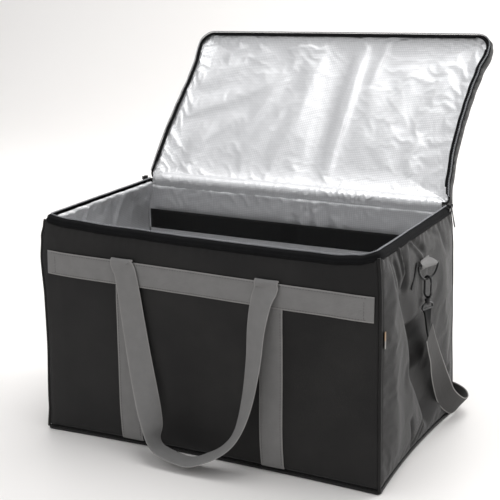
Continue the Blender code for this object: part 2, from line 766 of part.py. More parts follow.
def handle_route(side):
    """The loop: out over the band's upper edge, down, through a half turn, and up again."""
    fold = WEBBING_THICKNESS + GAP * 1.5
    stand = HANDLE_STAND if side < 0 else BACK_HANDLE_STAND
    rows = []
    for turn, shift in ((-1, STRIP_SHIFT), (1, STRIP_SHIFT)):
        x = shift - HANDLE_FALL + turn * STRIP_SPACING / 2
        z = band_middle_z(x) + WEBBING / 2
        face = long_face(side, x, z / HEIGHT) + side * (GAP + WEBBING_THICKNESS / 2)
        width = (1, 0, 0) if turn < 0 else (-1, 0, 0)
        lifts = ((0.0, 0.0012), (0.28, 0.0030), (1.0, 0.0042), (1.72, 0.0030), (2.05, 0.0), (2.2, -0.006))
        ends = [(x, face + side * fold * out, z + lift, *width) for out, lift in lifts]
        rows.append(ends if turn < 0 else ends[::-1])
    middle = STRIP_SHIFT - HANDLE_FALL
    top = band_middle_z(middle) + WEBBING / 2
    loop = []
    for across, drop, out, turned in HANDLE_ROUTE:
        x = middle + across * STRIP_SPACING
        z = top - drop * HANDLE_DROP
        y = side * (RIM_DEPTH / 2 + DEPTH_FLARE * 0.3 + out * stand)
        a = math.radians(turned)
        loop.append((x, y, z, math.cos(a), -side * math.sin(a), 0))
    return rows[0] + [tuple(p) for p in smooth_route(loop, 2)] + rows[1]


# Hardware at the ends of the shoulder strap


def tab_frame(side):
    """The middle of the ring's bar, and the directions along the bar and out from the bag."""
    up = TAB_PLACE_Z / HEIGHT
    out = Vector((side * math.cos(TAB_TURN), -math.sin(TAB_TURN), 0))
    along = Vector((side * math.sin(TAB_TURN), math.cos(TAB_TURN), 0))
    middle = Vector((edge_x(side, up) + side * TAB_STAND, TAB_PLACE_Y, TAB_PLACE_Z))
    return middle, along, out


def tab_panel_x(side, z):
    """The furthest that the panel comes out behind the tab, so that the tab's ends lie on it."""
    faces = [side_face(side, TAB_PLACE_Y + share * WEBBING / 2, z / HEIGHT) for share in (-1, -0.5, 0, 0.5, 1)]
    return side * (max(side * x for x in faces) + GAP + WEBBING_THICKNESS / 2)


def build_tab(end, side, collection):
    """Webbing sewn to the side panel and folded round the ring's bar."""
    middle, along, out = tab_frame(side)
    bend = RING_WIRE + GAP * 2 + WEBBING_THICKNESS / 2
    high, low = TAB_PLACE_Z + bend * 2.2, TAB_PLACE_Z - bend * 1.6
    rows = [(tab_panel_x(side, high + bend), TAB_PLACE_Y, high + bend, 0, 1, 0)]
    rows.append((tab_panel_x(side, high) + side * GAP * 2, TAB_PLACE_Y, high, 0, 1, 0))
    for turn in (90, 45, 0, -45, -90):
        a = math.radians(turn)
        place = middle + out * bend * math.cos(a) + Vector((0, 0, bend * math.sin(a)))
        rows.append((*place, *along))
    rows.append((tab_panel_x(side, low) + side * GAP * 2, TAB_PLACE_Y, low - bend * 0.3, 0, 1, 0))
    add_ribbon(f"side_tab_{end}", rows, TAB_WIDTH, WEBBING_THICKNESS, "grey webbing", collection)


def build_ring(end, side, collection):
    """A wire D-ring with its straight bar in the tab."""
    middle, along, out = tab_frame(side)
    reach = RING_INSIDE / 2 + RING_WIRE
    drop = RING_DROP + RING_WIRE
    route = []
    for turn in spaced(0, 180, 15):
        a = math.radians(turn)
        route.append(middle + along * reach * math.cos(a) - Vector((0, 0, drop * math.sin(a))))
    add_tube(f"d_ring_{end}", route, RING_WIRE, "black enamelled metal", collection, closed=True, fineness=1)


def hook_top_z():
    return TAB_PLACE_Z - RING_DROP - RING_WIRE + RING_WIRE + GAP + HOOK_WIRE


def build_hook(end, side, collection, cutters):
    """A sprung hook through the ring, its gate, and the swivel that carries the strap."""
    middle, along, out = tab_frame(side)
    half = HOOK_WIDTH / 2
    top = hook_top_z()
    nose, knuckle, foot = half + 0.0035, HOOK_LENGTH - half - GATE_WIRE, HOOK_LENGTH

    def place(sideways, down):
        spot = middle + out * sideways
        return Vector((spot.x, spot.y, top - down))

    route = [place(half, nose)]
    for turn in spaced(0, 180, 7):
        a = math.radians(turn)
        route.append(place(half * math.cos(a), half - half * math.sin(a)))
    for turn in spaced(180, 360, 7):
        a = math.radians(turn)
        route.append(place(half * math.cos(a), foot - half - half * math.sin(a)))
    route[-1] = place(half, knuckle)
    add_tube(f"hook_body_{end}", route, HOOK_WIRE, "black plastic", collection)
    gate = [place(half, knuckle - GAP * 3), place(half, nose + GAP * 3)]
    add_tube(f"hook_gate_{end}", gate, GATE_WIRE, "black plastic", collection)

    barrel_top = top - foot - HOOK_WIRE - GAP
    eye_top = barrel_top - SWIVEL_LENGTH + RING_WIRE
    eye_half = STRAP_END_WIDTH / 2 + RING_WIRE + GAP * 3
    eye_low = eye_top - RING_WIRE * 5
    corners = ((-0.35, eye_top), (0.35, eye_top), (1.0, eye_low + 0.003), (0.9, eye_low), (-0.9, eye_low), (-1.0, eye_low + 0.003))
    eye = [(*(middle + along * eye_half * share).xy, z) for share, z in corners]
    name = f"hook_swivel_{end}"
    piece = add_tube(name, eye, RING_WIRE, "black plastic", collection, closed=True, fineness=1)
    mesh = bpy.data.meshes.new(name + "_barrel")
    work = bmesh.new()
    bmesh.ops.create_cone(work, cap_ends=True, segments=14, radius1=SWIVEL_RADIUS, radius2=SWIVEL_RADIUS * 0.9, depth=SWIVEL_LENGTH)
    work.to_mesh(mesh)
    work.free()
    barrel = bpy.data.objects.new(name + "_barrel", mesh)
    cutters.objects.link(barrel)
    barrel.location = (middle.x, middle.y, barrel_top - SWIVEL_LENGTH / 2)
    barrel.display_type = "WIRE"
    barrel.hide_render = True
    join = piece.modifiers.new("barrel", "BOOLEAN")
    join.operation = "UNION"
    join.object = barrel
    return eye_low - RING_WIRE


def build_strap_end(end, side, eye_foot, collection):
    """The doubled and gathered black webbing between the swivel and the grey strap."""
    middle, along, out = tab_frame(side)
    flip = Vector((side, 1, 1))
    first, second = [Vector(row[:3]) * flip for row in smooth_route(STRAP_ROUTE, 3)[:2]]
    down = (second - first).normalized()
    turn = Vector(STRAP_ROUTE[0][3:]) * flip
    start = Vector((middle.x, middle.y, eye_foot - GAP))
    rows = [(*start, *along), (start.x, start.y, start.z - STRAP_THICKNESS * 2, *along)]
    for before in (0.6, 0.3, 0.0):
        spot = first - down * (STRAP_END_LENGTH * before * 0.5 + GAP * 2)
        pull = max(before - 0.3, 0.0)
        rows.append((*spot.lerp(start, pull), *turn.lerp(along, pull * 2)))
    add_ribbon(f"strap_end_{end}", rows, STRAP_END_WIDTH, STRAP_THICKNESS * 2, "black webbing", collection)


def build_tail(collection):
    """The thin black end that hangs beside the right tab."""
    middle, along, out = tab_frame(1)
    start = middle - along * (RING_INSIDE / 2 + RING_WIRE * 2 + TAIL_WIDTH * 0.35)
    rows = []
    for share in spaced(0.0, 1.0, 6):
        y = start.y - share * TAIL_LENGTH * 0.60
        z = TAB_PLACE_Z + TAIL_WIDTH - share * TAIL_LENGTH * 0.74
        x = side_face(1, y, z / HEIGHT) + SEAM_EASE * 1.5 + WEBBING_THICKNESS / 2
        rows.append((x, y, z, 0, 0.8, -0.6))
    add_ribbon("strap_tail", rows, TAIL_WIDTH, WEBBING_THICKNESS, "black webbing", collection)


def build_label(collection):
    """The small folded tab caught in the front right seam, with nothing on it."""
    rows = []
    for level in spaced(-0.5, 0.5, 4):
        z = LABEL_PLACE_Z + level * LABEL_HEIGHT
        y = edge_y(-1, z / HEIGHT) + WALL + GAP * 4 + LABEL_WIDTH / 2
        rows.append((side_face(1, y, z / HEIGHT) + GAP * 2 + WEBBING_THICKNESS / 2, y, z, 0, 1, 0))
    add_ribbon("seam_label", rows, LABEL_WIDTH, WEBBING_THICKNESS, "tan cloth", collection)


def zip_place(side):
    """The middle of a parked slider, at a back corner of the rim."""
    x = side * (RIM_WIDTH / 2 - WALL / 2 + TAPE_THICKNESS / 2 + GAP + SLIDER_THICKNESS / 2)
    return Vector((x, RIM_DEPTH / 2 - SLIDER_WIDTH * 1.4, HEIGHT - TAPE_HEIGHT + SLIDER_LENGTH / 2 + GAP * 4))


def pull_axis(side):
    """The line that a pull turns on, along Y, between the slider's ears."""
    spot = zip_place(side)
    return Vector((spot.x + side * (SLIDER_THICKNESS / 2 + PULL_PIN + GAP * 2), spot.y, spot.z + SLIDER_LENGTH * 0.2))


def build_slider(end, side, collection, cutters):
    """A zip slider with two ears, and the pull that swings between them."""
    spot, axis = zip_place(side), pull_axis(side)
    ear_reach = PULL_PIN * 2 + GAP * 2
    size = (SLIDER_THICKNESS + ear_reach, SLIDER_WIDTH, SLIDER_LENGTH)
    place = (spot.x + side * ear_reach / 2, spot.y, spot.z)
    slider = add_block(f"zip_slider_{end}", size, place, "black enamelled metal", collection)
    slot = PULL_WIDTH + GAP * 3
    far = spot.x + side * (SLIDER_THICKNESS / 2 + ear_reach)
    cut_middle = spot.x + side * (SLIDER_THICKNESS / 2 + ear_reach)
    cuts = (
        ((ear_reach * 2, slot, SLIDER_LENGTH * 2), (cut_middle, spot.y, spot.z)),
        ((ear_reach * 2, SLIDER_WIDTH * 2, SLIDER_LENGTH), (far, spot.y, axis.z - PULL_PIN * 2 - SLIDER_LENGTH / 2)),
    )
    for n, (cut_size, cut_place) in enumerate(cuts):
        cutter = add_block(f"slider_cut_{end}_{n}", cut_size, cut_place, "black plastic", cutters)
        cutter.display_type = "WIRE"
        cutter.hide_render = True
        cut = slider.modifiers.new("slot", "BOOLEAN")
        cut.operation = "DIFFERENCE"
        cut.object = cutter

    lean = PULL_LEAN * side
    outline = []
    for turn in spaced(-60, 240, 9):
        a = math.radians(turn)
        outline.append((PULL_PIN * math.cos(a), PULL_PIN * math.sin(a)))
    outline += [(-PULL_THICKNESS / 2, -PULL_LENGTH), (PULL_THICKNESS / 2, -PULL_LENGTH)]
    points = []
    for along in (-PULL_WIDTH / 2, PULL_WIDTH / 2):
        for across, down in outline:
            x = axis.x + across * math.cos(lean) - down * math.sin(lean)
            z = axis.z + across * math.sin(lean) + down * math.cos(lean)
            points.append((x, axis.y + along, z))
    count = len(outline)
    faces = [tuple(range(count)), tuple(range(count, 2 * count))]
    faces += [(n, (n + 1) % count, (n + 1) % count + count, n + count) for n in range(count)]
    add_mesh(f"zip_pull_{end}", points, faces, "black enamelled metal", collection)


def main():
    clear_scene()
    bag = bpy.data.collections.new("cooler_bag")
    cutters = bpy.data.collections.new("cutters")
    for made in (bag, cutters):
        bpy.context.scene.collection.children.link(made)
    build_base(bag)
    build_long_panel("front_panel", -1, bag)
    build_long_panel("back_panel", 1, bag)
    build_side_panel("left_panel", -1, bag, 12, 12)
    build_side_panel("right_panel", 1, bag, 20, 17)
    build_pipings(bag)
    build_lining(bag)
    build_lining_band(bag)
    build_rim(bag)
    build_lid(bag)
    build_lid_zip(bag)
    build_hinge(bag)
    for face, side in (("front", -1), ("back", 1)):
        build_band(face, side, bag)
        build_strips(face, side, bag)
        add_ribbon(f"{face}_handle", handle_route(side), WEBBING, WEBBING_THICKNESS, "grey webbing", bag)
    for end, side in (("left", -1), ("right", 1)):
        build_tab(end, side, bag)
        build_ring(end, side, bag)
        eye_foot = build_hook(end, side, bag, cutters)
        build_strap_end(end, side, eye_foot, bag)
        build_slider(end, side, bag, cutters)
    build_tail(bag)
    build_label(bag)
    strap = [tuple(p) for p in smooth_route(STRAP_ROUTE, 3)]
    add_ribbon("shoulder_strap", strap, STRAP_WIDTH, STRAP_THICKNESS, "grey webbing", bag)


main()
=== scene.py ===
"""A large soft cooler bag with its lid thrown open: padded cloth, foil, webbing, zips and snap hooks.

Lengths are in metres, unless a comment says otherwise."""

import math

import bmesh
import bpy
import numpy as np
from mathutils import Matrix, Vector, noise


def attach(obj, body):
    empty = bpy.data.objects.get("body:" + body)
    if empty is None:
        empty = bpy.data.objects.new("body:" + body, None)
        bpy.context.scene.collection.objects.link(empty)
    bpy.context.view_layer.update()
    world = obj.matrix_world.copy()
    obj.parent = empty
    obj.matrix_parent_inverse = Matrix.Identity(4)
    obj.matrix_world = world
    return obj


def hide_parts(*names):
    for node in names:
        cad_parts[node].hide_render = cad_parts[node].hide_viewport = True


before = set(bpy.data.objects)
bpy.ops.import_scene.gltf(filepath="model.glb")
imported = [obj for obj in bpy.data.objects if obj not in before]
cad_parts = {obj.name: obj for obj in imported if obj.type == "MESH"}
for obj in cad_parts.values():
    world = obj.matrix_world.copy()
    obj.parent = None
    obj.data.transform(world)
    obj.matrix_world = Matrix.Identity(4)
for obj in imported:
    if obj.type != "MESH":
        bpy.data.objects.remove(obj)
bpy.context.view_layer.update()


# Camera
# A short telephoto view from the front right corner, a little above the rim, as the product is shown. It
# isn't part of the bag.

CAMERA_PLACE = Vector((0.9054, -1.7940, 0.8602))
CAMERA_AZIMUTH = math.radians(26.784)
CAMERA_PITCH = math.radians(15.360)
CAMERA_ROLL = math.radians(-0.828)
CAMERA_LENS = 89.39

back = Vector(
    (
        math.sin(CAMERA_AZIMUTH) * math.cos(CAMERA_PITCH),
        -math.cos(CAMERA_AZIMUTH) * math.cos(CAMERA_PITCH),
        math.sin(CAMERA_PITCH),
    )
)
level_right = Vector((math.cos(CAMERA_AZIMUTH), math.sin(CAMERA_AZIMUTH), 0))
level_up = level_right.cross(-back)
right = level_right * math.cos(CAMERA_ROLL) + level_up * math.sin(CAMERA_ROLL)
up = -level_right * math.sin(CAMERA_ROLL) + level_up * math.cos(CAMERA_ROLL)
lens = bpy.data.cameras.new("camera")
lens.lens = CAMERA_LENS
lens.sensor_width = 36
lens.clip_start = 0.01
camera = bpy.data.objects.new("camera", lens)
bpy.context.scene.collection.objects.link(camera)
turn = Matrix((right, up, back)).transposed().to_4x4()
camera.matrix_world = Matrix.Translation(CAMERA_PLACE) @ turn
bpy.context.scene.camera = camera


# Studio floor
# A wide sheet of white background paper that lies under the bag and curves up behind it. It isn't part of
# the bag.


def linear(code):
    """An sRGB hex colour as the linear colour that a shader takes."""
    parts = [int(code[n : n + 2], 16) / 255 for n in (1, 3, 5)]
    return (*[c / 12.92 if c <= 0.04045 else ((c + 0.055) / 1.055) ** 2.4 for c in parts], 1.0)


def add_node(tree, kind, settings=None, links=None):
    """One node, with settings for its properties and inputs, and links from other nodes' outputs."""
    node = tree.nodes.new(kind)
    for key, value in (settings or {}).items():
        if isinstance(key, str) and hasattr(node, key):
            setattr(node, key, value)
        else:
            node.inputs[key].default_value = value
    for key, (source, output) in (links or {}).items():
        tree.links.new(source.outputs[output], node.inputs[key])
    return node


def start_finish(name, settings):
    """An empty material with its shader, ready for its pattern."""
    finish = bpy.data.materials.new(name)
    finish.use_nodes = True
    tree = finish.node_tree
    shader = tree.nodes["Principled BSDF"]
    for key, value in settings.items():
        shader.inputs[key].default_value = value
    return finish, tree, shader


FLOOR_HALF = 14.0
FLOOR_FRONT = -14.0
FLOOR_BEND_START = 2.2
FLOOR_BEND = 1.6
PAPER_HEIGHT = 4.5
PAPER_LIGHT = "#f3f1ef"
PAPER_SHADE = "#efece9"

# Matt white background paper, with a faint gloss that mirrors the bag's foot
paper, tree, shader = start_finish("white background paper", {"Roughness": 0.42, "Specular IOR Level": 0.35})
spot = add_node(tree, "ShaderNodeTexCoord")
mottle = add_node(tree, "ShaderNodeTexNoise", {"Scale": 0.7, "Detail": 2.0}, {"Vector": (spot, "Object")})
tone = add_node(
    tree,
    "ShaderNodeMix",
    {"data_type": "RGBA", "A": linear(PAPER_LIGHT), "B": linear(PAPER_SHADE)},
    {"Factor": (mottle, "Fac")},
)
tree.links.new(tone.outputs["Result"], shader.inputs["Base Color"])

profile = [(FLOOR_FRONT, 0.0), (FLOOR_BEND_START, 0.0)]
for step in range(1, 17):
    angle = math.pi / 2 * step / 16
    profile.append((FLOOR_BEND_START + FLOOR_BEND * math.sin(angle), FLOOR_BEND * (1 - math.cos(angle))))
profile.append((FLOOR_BEND_START + FLOOR_BEND, PAPER_HEIGHT))
paper_mesh = bpy.data.meshes.new("floor")
paper_points = [(x, y, z) for y, z in profile for x in (-FLOOR_HALF, FLOOR_HALF)]
paper_faces = [(2 * n, 2 * n + 1, 2 * n + 3, 2 * n + 2) for n in range(len(profile) - 1)]
paper_mesh.from_pydata(paper_points, [], paper_faces)
paper_mesh.materials.append(paper)
paper_mesh.shade_smooth()
floor = bpy.data.objects.new("floor", paper_mesh)
bpy.context.scene.collection.objects.link(floor)


# Studio light
# A large soft box from the right and behind, a weak one from the front left, one above and one on the paper,
# in a white room with a bright ceiling.

SOFT_BOXES = (
    # place, aimed at, width, height, watts
    ((1.95, 1.75, 1.0), (0.2, 0.0, 0.25), 1.0, 1.3, 38.0),
    ((-1.6, -2.2, 1.9), (0.0, 0.0, 0.2), 1.8, 1.4, 6.0),
    ((0.2, 0.3, 2.9), (0.0, 0.1, 0.2), 2.4, 1.8, 51.0),
    ((-0.3, 1.2, 2.3), (-1.5, 3.4, 0.5), 2.4, 0.8, 40.0),
)
ROOM_WHITE = "#f4f5f7"
for n, (place, aim, width, height, watts) in enumerate(SOFT_BOXES):
    box = bpy.data.lights.new(f"soft_box_{n}", "AREA")
    box.shape = "RECTANGLE"
    box.size = width
    box.size_y = height
    box.energy = watts
    holder = bpy.data.objects.new(f"soft_box_{n}", box)
    bpy.context.scene.collection.objects.link(holder)
    holder.location = place
    holder.rotation_euler = (Vector(aim) - Vector(place)).to_track_quat("-Z", "Y").to_euler()
room = bpy.data.worlds.new("white room")
bpy.context.scene.world = room
room.use_nodes = True
sky = room.node_tree.nodes["Background"]
sky.inputs["Color"].default_value = linear(ROOM_WHITE)
aim = add_node(room.node_tree, "ShaderNodeTexCoord")
height = add_node(room.node_tree, "ShaderNodeSeparateXYZ", None, {0: (aim, "Generated")})
ceiling = add_node(
    room.node_tree,
    "ShaderNodeMapRange",
    {"From Min": 0.05, "From Max": 0.62, "To Min": 0.40, "To Max": 0.74},
    {"Value": (height, "Z")},
)
room.node_tree.links.new(ceiling.outputs["Result"], sky.inputs["Strength"])
bpy.context.scene.view_settings.view_transform = "Standard"


# Body panels
# Four padded walls of tightly woven, coated polyester over closed-cell foam, cut to size and sewn inside out.
# Between their seams they puff out a little, sag, and gather under the rim.

RIM_WIDTH = 0.590
RIM_DEPTH = 0.338
HEIGHT = 0.378
WALL = 0.007
SIDE_FLARE = 0.012
DEPTH_FLARE = 0.010
BASE_DRAW = 0.009
FRONT_SAG = 0.013
RIM_LIFT = 0.003
TAPE_HEIGHT = 0.011
BACK_EDGE = 0.003
PIPING_RADIUS = 0.0026
PANEL_FOOT = 0.0092
PANEL_SLACK = 0.0016
SEAM_ROLL = 0.0022
SEAM_GRIP = 0.008

# Rows are: share of the height, how far the left and the right edge stand out (shares of SIDE_FLARE), and the
# front and back edges (share of DEPTH_FLARE)
UPRIGHT_EDGES = (
    (0.00, 1.00, 0.85, 1.00),
    (0.12, 0.72, 0.80, 0.88),
    (0.45, 0.55, 0.60, 0.55),
    (0.62, 0.66, 0.55, 0.40),
    (0.80, 1.00, 0.45, 0.25),
    (0.90, 0.80, 0.30, 0.12),
    (0.96, 0.35, 0.10, 0.05),
    (1.00, 0.00, 0.00, 0.00),
)

# Rows are: share of the front's width from the left, share of FRONT_SAG that the rim hangs there
FRONT_RIM = (
    (0.00, 0.00),
    (0.08, 0.42),
    (0.22, 0.68),
    (0.45, 0.90),
    (0.70, 1.00),
    (0.88, 0.98),
    (0.94, 0.72),
    (1.00, 0.00),
)

# Folds of the right wall, in metres. Rows are: start y and z, end y and z, half-widths towards the front
# and the back, depth (a ridge when below 0)
RIGHT_FOLDS = (
    (-0.095, 0.300, -0.048, 0.215, 0.012, 0.024, 0.008),
    (-0.050, 0.222, -0.034, 0.150, 0.009, 0.052, 0.021),
    (-0.034, 0.150, 0.045, 0.045, 0.010, 0.056, 0.021),
    (-0.135, 0.310, -0.120, 0.060, 0.030, 0.026, -0.005),
    (0.100, 0.310, 0.130, 0.080, 0.040, 0.030, -0.004),
    (-0.080, 0.357, -0.078, 0.300, 0.004, 0.012, 0.007),
    (-0.100, 0.378, -0.088, 0.325, 0.003, 0.004, -0.004),
    (-0.118, 0.352, -0.098, 0.305, 0.010, 0.005, 0.005),
    (-0.062, 0.376, 0.000, 0.330, 0.004, 0.005, -0.004),
    (-0.045, 0.374, 0.008, 0.338, 0.004, 0.010, 0.007),
    (-0.135, 0.365, -0.125, 0.315, 0.004, 0.007, 0.003),
    (0.030, 0.366, 0.075, 0.350, 0.004, 0.006, 0.003),
    (0.090, 0.368, 0.110, 0.320, 0.006, 0.009, 0.003),
    (-0.045, 0.070, -0.024, 0.018, 0.004, 0.008, 0.006),
    (0.022, 0.048, -0.016, 0.018, 0.004, 0.005, 0.004),
    (0.030, 0.038, 0.005, 0.014, 0.003, 0.004, 0.003),
)
LEFT_FOLDS = (
    (-0.020, 0.330, 0.010, 0.190, 0.030, 0.045, 0.007),
    (0.015, 0.220, -0.030, 0.060, 0.050, 0.050, 0.009),
    (0.060, 0.368, 0.040, 0.310, 0.005, 0.010, 0.005),
    (-0.070, 0.368, -0.050, 0.315, 0.006, 0.009, 0.004),
    (-0.110, 0.366, -0.100, 0.330, 0.004, 0.006, 0.003),
    (0.110, 0.366, 0.100, 0.325, 0.004, 0.006, 0.003),
    (0.020, 0.050, 0.030, 0.016, 0.005, 0.007, 0.004),
)


def along_table(table, at, column):
    """A table's column at each share between its rows, eased so that no corner shows at a row."""
    rows = np.array(table, float)
    at = np.clip(np.asarray(at, float), rows[0, 0], rows[-1, 0])
    row = np.clip(np.searchsorted(rows[:, 0], at, side="right") - 1, 0, len(rows) - 2)
    t = (at - rows[row, 0]) / (rows[row + 1, 0] - rows[row, 0])
    t = t * t * (3 - 2 * t)
    return rows[row, column] * (1 - t) + rows[row + 1, column] * t


def rumple(a, b, size, seed):
    """Smooth random height from -1 to 1 over a surface, with bumps of about that size in metres."""
    a, b = np.broadcast_arrays(np.asarray(a, float), np.asarray(b, float))
    flat = [noise.noise(Vector((p / size, q / size, seed))) for p, q in zip(a.ravel(), b.ravel())]
    return np.array(flat).reshape(a.shape)


def creases(a, b, size, seed):
    """Sharp random ridges from 0 to 1 over a surface, like those of a crumpled sheet."""
    bend = rumple(a, b, size * 2.1, seed + 5.5) * size * 0.7
    return (1 - np.abs(rumple(a + bend, b - bend, size, seed)) * 2.2) ** 3


def folds_at(folds, y, z):
    """How far a wall's folds draw it in at each place."""
    drawn = np.zeros(np.broadcast(y, z).shape)
    for y0, z0, y1, z1, fore, aft, depth in folds:
        line = np.array((y1 - y0, z1 - z0))
        length = np.hypot(*line)
        line = line / length
        along = (y - y0) * line[0] + (z - z0) * line[1]
        away = (y - y0) * -line[1] + (z - z0) * line[0]
        spread = np.where(away > 0, aft, fore)
        ends = np.clip(np.minimum(along, length - along) / (0.35 * length) + 0.7, 0, 1)
        drawn = drawn + depth * np.exp(-((away / spread) ** 2) * 1.2) * ends * ends * (3 - 2 * ends)
    return drawn


def hem_draw(across, up):
    """The walls' lower edges are drawn in between the corners."""
    return BASE_DRAW * np.clip(1 - across * across, 0, None) * np.clip(1 - up / 0.35, 0, None) ** 2


def edge_x(side, up):
    return side * (RIM_WIDTH / 2 + SIDE_FLARE * along_table(UPRIGHT_EDGES, up, 1 if side < 0 else 2))


def edge_y(side, up):
    return side * (RIM_DEPTH / 2 + DEPTH_FLARE * along_table(UPRIGHT_EDGES, up, 3))


def front_rim_z(x):
    return HEIGHT + RIM_LIFT - FRONT_SAG * along_table(FRONT_RIM, np.asarray(x) / RIM_WIDTH + 0.5, 1)


def side_rim_z(y):
    return HEIGHT + RIM_LIFT * (RIM_DEPTH / 2 - np.asarray(y)) / RIM_DEPTH


def wall_top(face, along):
    """Where a wall ends under the zip tape or the hinge."""
    if face == "front":
        return front_rim_z(along) - TAPE_HEIGHT
    if face == "back":
        return HEIGHT - BACK_EDGE + 0 * np.asarray(along)
    return side_rim_z(along) - TAPE_HEIGHT


def slack_at(face, along, z, reach):
    """How far a wall's cloth stands proud of its seams: padding, sag, gathers and the rolled edges."""
    seed = {"front": 1.3, "back": 4.1, "left": 7.7, "right": 9.2}[face]
    top = wall_top(face, along)
    from_top, from_foot, from_side = top - z, z - PANEL_FOOT, reach - np.abs(along)
    inner = np.clip(np.minimum(np.minimum(from_top, from_foot), from_side) / 0.035, 0, 1)
    proud = PANEL_SLACK * inner + 0.0016 * inner * rumple(along, z, 0.15, seed)
    proud = proud + 0.0005 * inner * rumple(along, z * 0.7, 0.045, seed + 2)
    gather = {"front": 0.0005, "back": 0.0004, "left": 0.0008, "right": 0.0009}[face]
    wave = np.sin(along / 0.0105 * math.pi * 2 / 1.6 + 3.5 * rumple(along, 0 * along, 0.05, seed + 4))
    proud = proud + gather * wave * np.exp(-np.clip(from_top, 0, None) / 0.010)
    hem_wave = np.sin(along / 0.024 * math.pi * 2 + 4 * rumple(along, 0 * along, 0.08, seed + 6))
    proud = proud + gather * 0.5 * hem_wave * np.exp(-np.clip(from_foot, 0, None) / 0.016)
    edge = np.clip(np.minimum(from_side, np.minimum(from_top, from_foot)), 0, None)
    return proud - SEAM_ROLL * np.exp(-edge / 0.0030)


def long_cloth(side, x, z):
    """The y of the front (-1) or back (1) wall's outside."""
    x, z = np.asarray(x, float), np.asarray(z, float)
    up = z / HEIGHT
    across = x / (RIM_WIDTH / 2 + SIDE_FLARE)
    proud = slack_at("front" if side < 0 else "back", x, z, RIM_WIDTH / 2)
    return edge_y(side, up) - side * hem_draw(across, up) + side * proud


def side_cloth(side, y, z):
    """The x of the left (-1) or right (1) wall's outside."""
    y, z = np.asarray(y, float), np.asarray(z, float)
    up = z / HEIGHT
    across = y / (RIM_DEPTH / 2 + DEPTH_FLARE)
    fade = np.clip(1 - np.abs(across) ** 8, 0, 1)
    drawn = folds_at(LEFT_FOLDS if side < 0 else RIGHT_FOLDS, y, z) * fade
    proud = slack_at("left" if side < 0 else "right", y, z, RIM_DEPTH / 2)
    return edge_x(side, up) - side * (drawn + hem_draw(across, up)) + side * proud


def thicken(piece, thickness, offset=-1):
    """Gives a sheet its thickness: inwards, outwards (offset 1) or both ways (offset 0)."""
    layer = piece.modifiers.new("thickness", "SOLIDIFY")
    layer.thickness = thickness
    layer.offset = offset


def lay_cloth(name, rows, finish, thickness=0.0, closed=False):
    """A sheet from rows of points, with its weave's coordinates in metres, thickened to its inner side."""
    rows = np.asarray(rows, float)
    count, columns = rows.shape[:2]
    step_u = np.linalg.norm(np.diff(rows, axis=1), axis=2).mean(0)
    step_v = np.linalg.norm(np.diff(rows, axis=0), axis=2).mean(1)
    u = np.concatenate(([0], np.cumsum(step_u)))
    v = np.concatenate(([0], np.cumsum(step_v)))
    u = u - u[-1] / 2
    span = columns if closed else columns - 1
    faces, corners = [], []
    wrap = u[-1] + step_u.mean()
    for r in range(count - 1):
        for c in range(span):
            n = (c + 1) % columns
            faces.append((r * columns + c, r * columns + n, (r + 1) * columns + n, (r + 1) * columns + c))
            next_u = u[n] if n else wrap
            corners += [u[c], v[r], next_u, v[r], next_u, v[r + 1], u[c], v[r + 1]]
    mesh = bpy.data.meshes.new(name)
    mesh.from_pydata(rows.reshape(-1, 3).tolist(), [], faces)
    mesh.uv_layers.new(name="weave").data.foreach_set("uv", corners)
    mesh.materials.append(finish)
    mesh.shade_smooth()
    piece = bpy.data.objects.new(name, mesh)
    bpy.context.scene.collection.objects.link(piece)
    if thickness:
        thicken(piece, abs(thickness), -1 if thickness > 0 else 1)
    return piece


def settle_cloth(piece, held, slack, frames, stiffness, cap, push=0.0):
    """Lets a sheet that is held at some points, and cut too large by the share slack, find its own wrinkles.

    No point moves further than the cap, and push is the pressure of the padding behind the sheet."""
    before = np.array([v.co for v in piece.data.vertices])
    group = piece.vertex_groups.new(name="held")
    for n, weight in enumerate(held):
        if weight > 0:
            group.add([n], float(weight), "REPLACE")
    cloth = piece.modifiers.new("cloth", "CLOTH")
    cloth.settings.quality = 4
    cloth.settings.mass = 0.2
    cloth.settings.tension_stiffness = stiffness
    cloth.settings.compression_stiffness = stiffness
    cloth.settings.shear_stiffness = stiffness * 0.4
    cloth.settings.bending_stiffness = 4.0
    cloth.settings.vertex_group_mass = "held"
    cloth.settings.shrink_min = -slack
    cloth.settings.use_pressure = push != 0.0
    cloth.settings.uniform_pressure_force = push
    cloth.settings.effector_weights.gravity = 0.0
    cloth.point_cache.frame_start = 1
    cloth.point_cache.frame_end = frames
    for number in range(1, frames + 1):
        bpy.context.scene.frame_set(number)
    seen = piece.evaluated_get(bpy.context.evaluated_depsgraph_get())
    after = np.array([v.co for v in seen.data.vertices])
    piece.modifiers.remove(cloth)
    piece.vertex_groups.remove(group)
    bpy.context.scene.frame_set(1)
    moved = after - before
    length = np.linalg.norm(moved, axis=1, keepdims=True)
    moved = moved * np.minimum(1.0, cap / np.maximum(length, 1e-9))
    piece.data.vertices.foreach_set("co", (before + moved).ravel())
    piece.data.update()


# Coated polyester, tightly woven: near black, with a soft sheen where it turns from the eye and grey where it
# rubs. Its threads are 0.45 mm apart and are drawn at 1.5 mm, because finer ones are lost in the render.
CLOTH_DARK = "#1a1919"
CLOTH_RUBBED = "#262524"
THREAD_SPACING = 0.0015


def threads_wave(tree, place, axis, spacing):
    """A wave across the threads that run along one of a sheet's two directions."""
    parted = add_node(tree, "ShaderNodeSeparateXYZ", None, {0: (place, "UV")})
    scaled = add_node(
        tree,
        "ShaderNodeMath",
        {"operation": "MULTIPLY", 1: math.pi * 2 / spacing},
        {0: (parted, axis)},
    )
    return add_node(tree, "ShaderNodeMath", {"operation": "SINE"}, {0: (scaled, 0)})


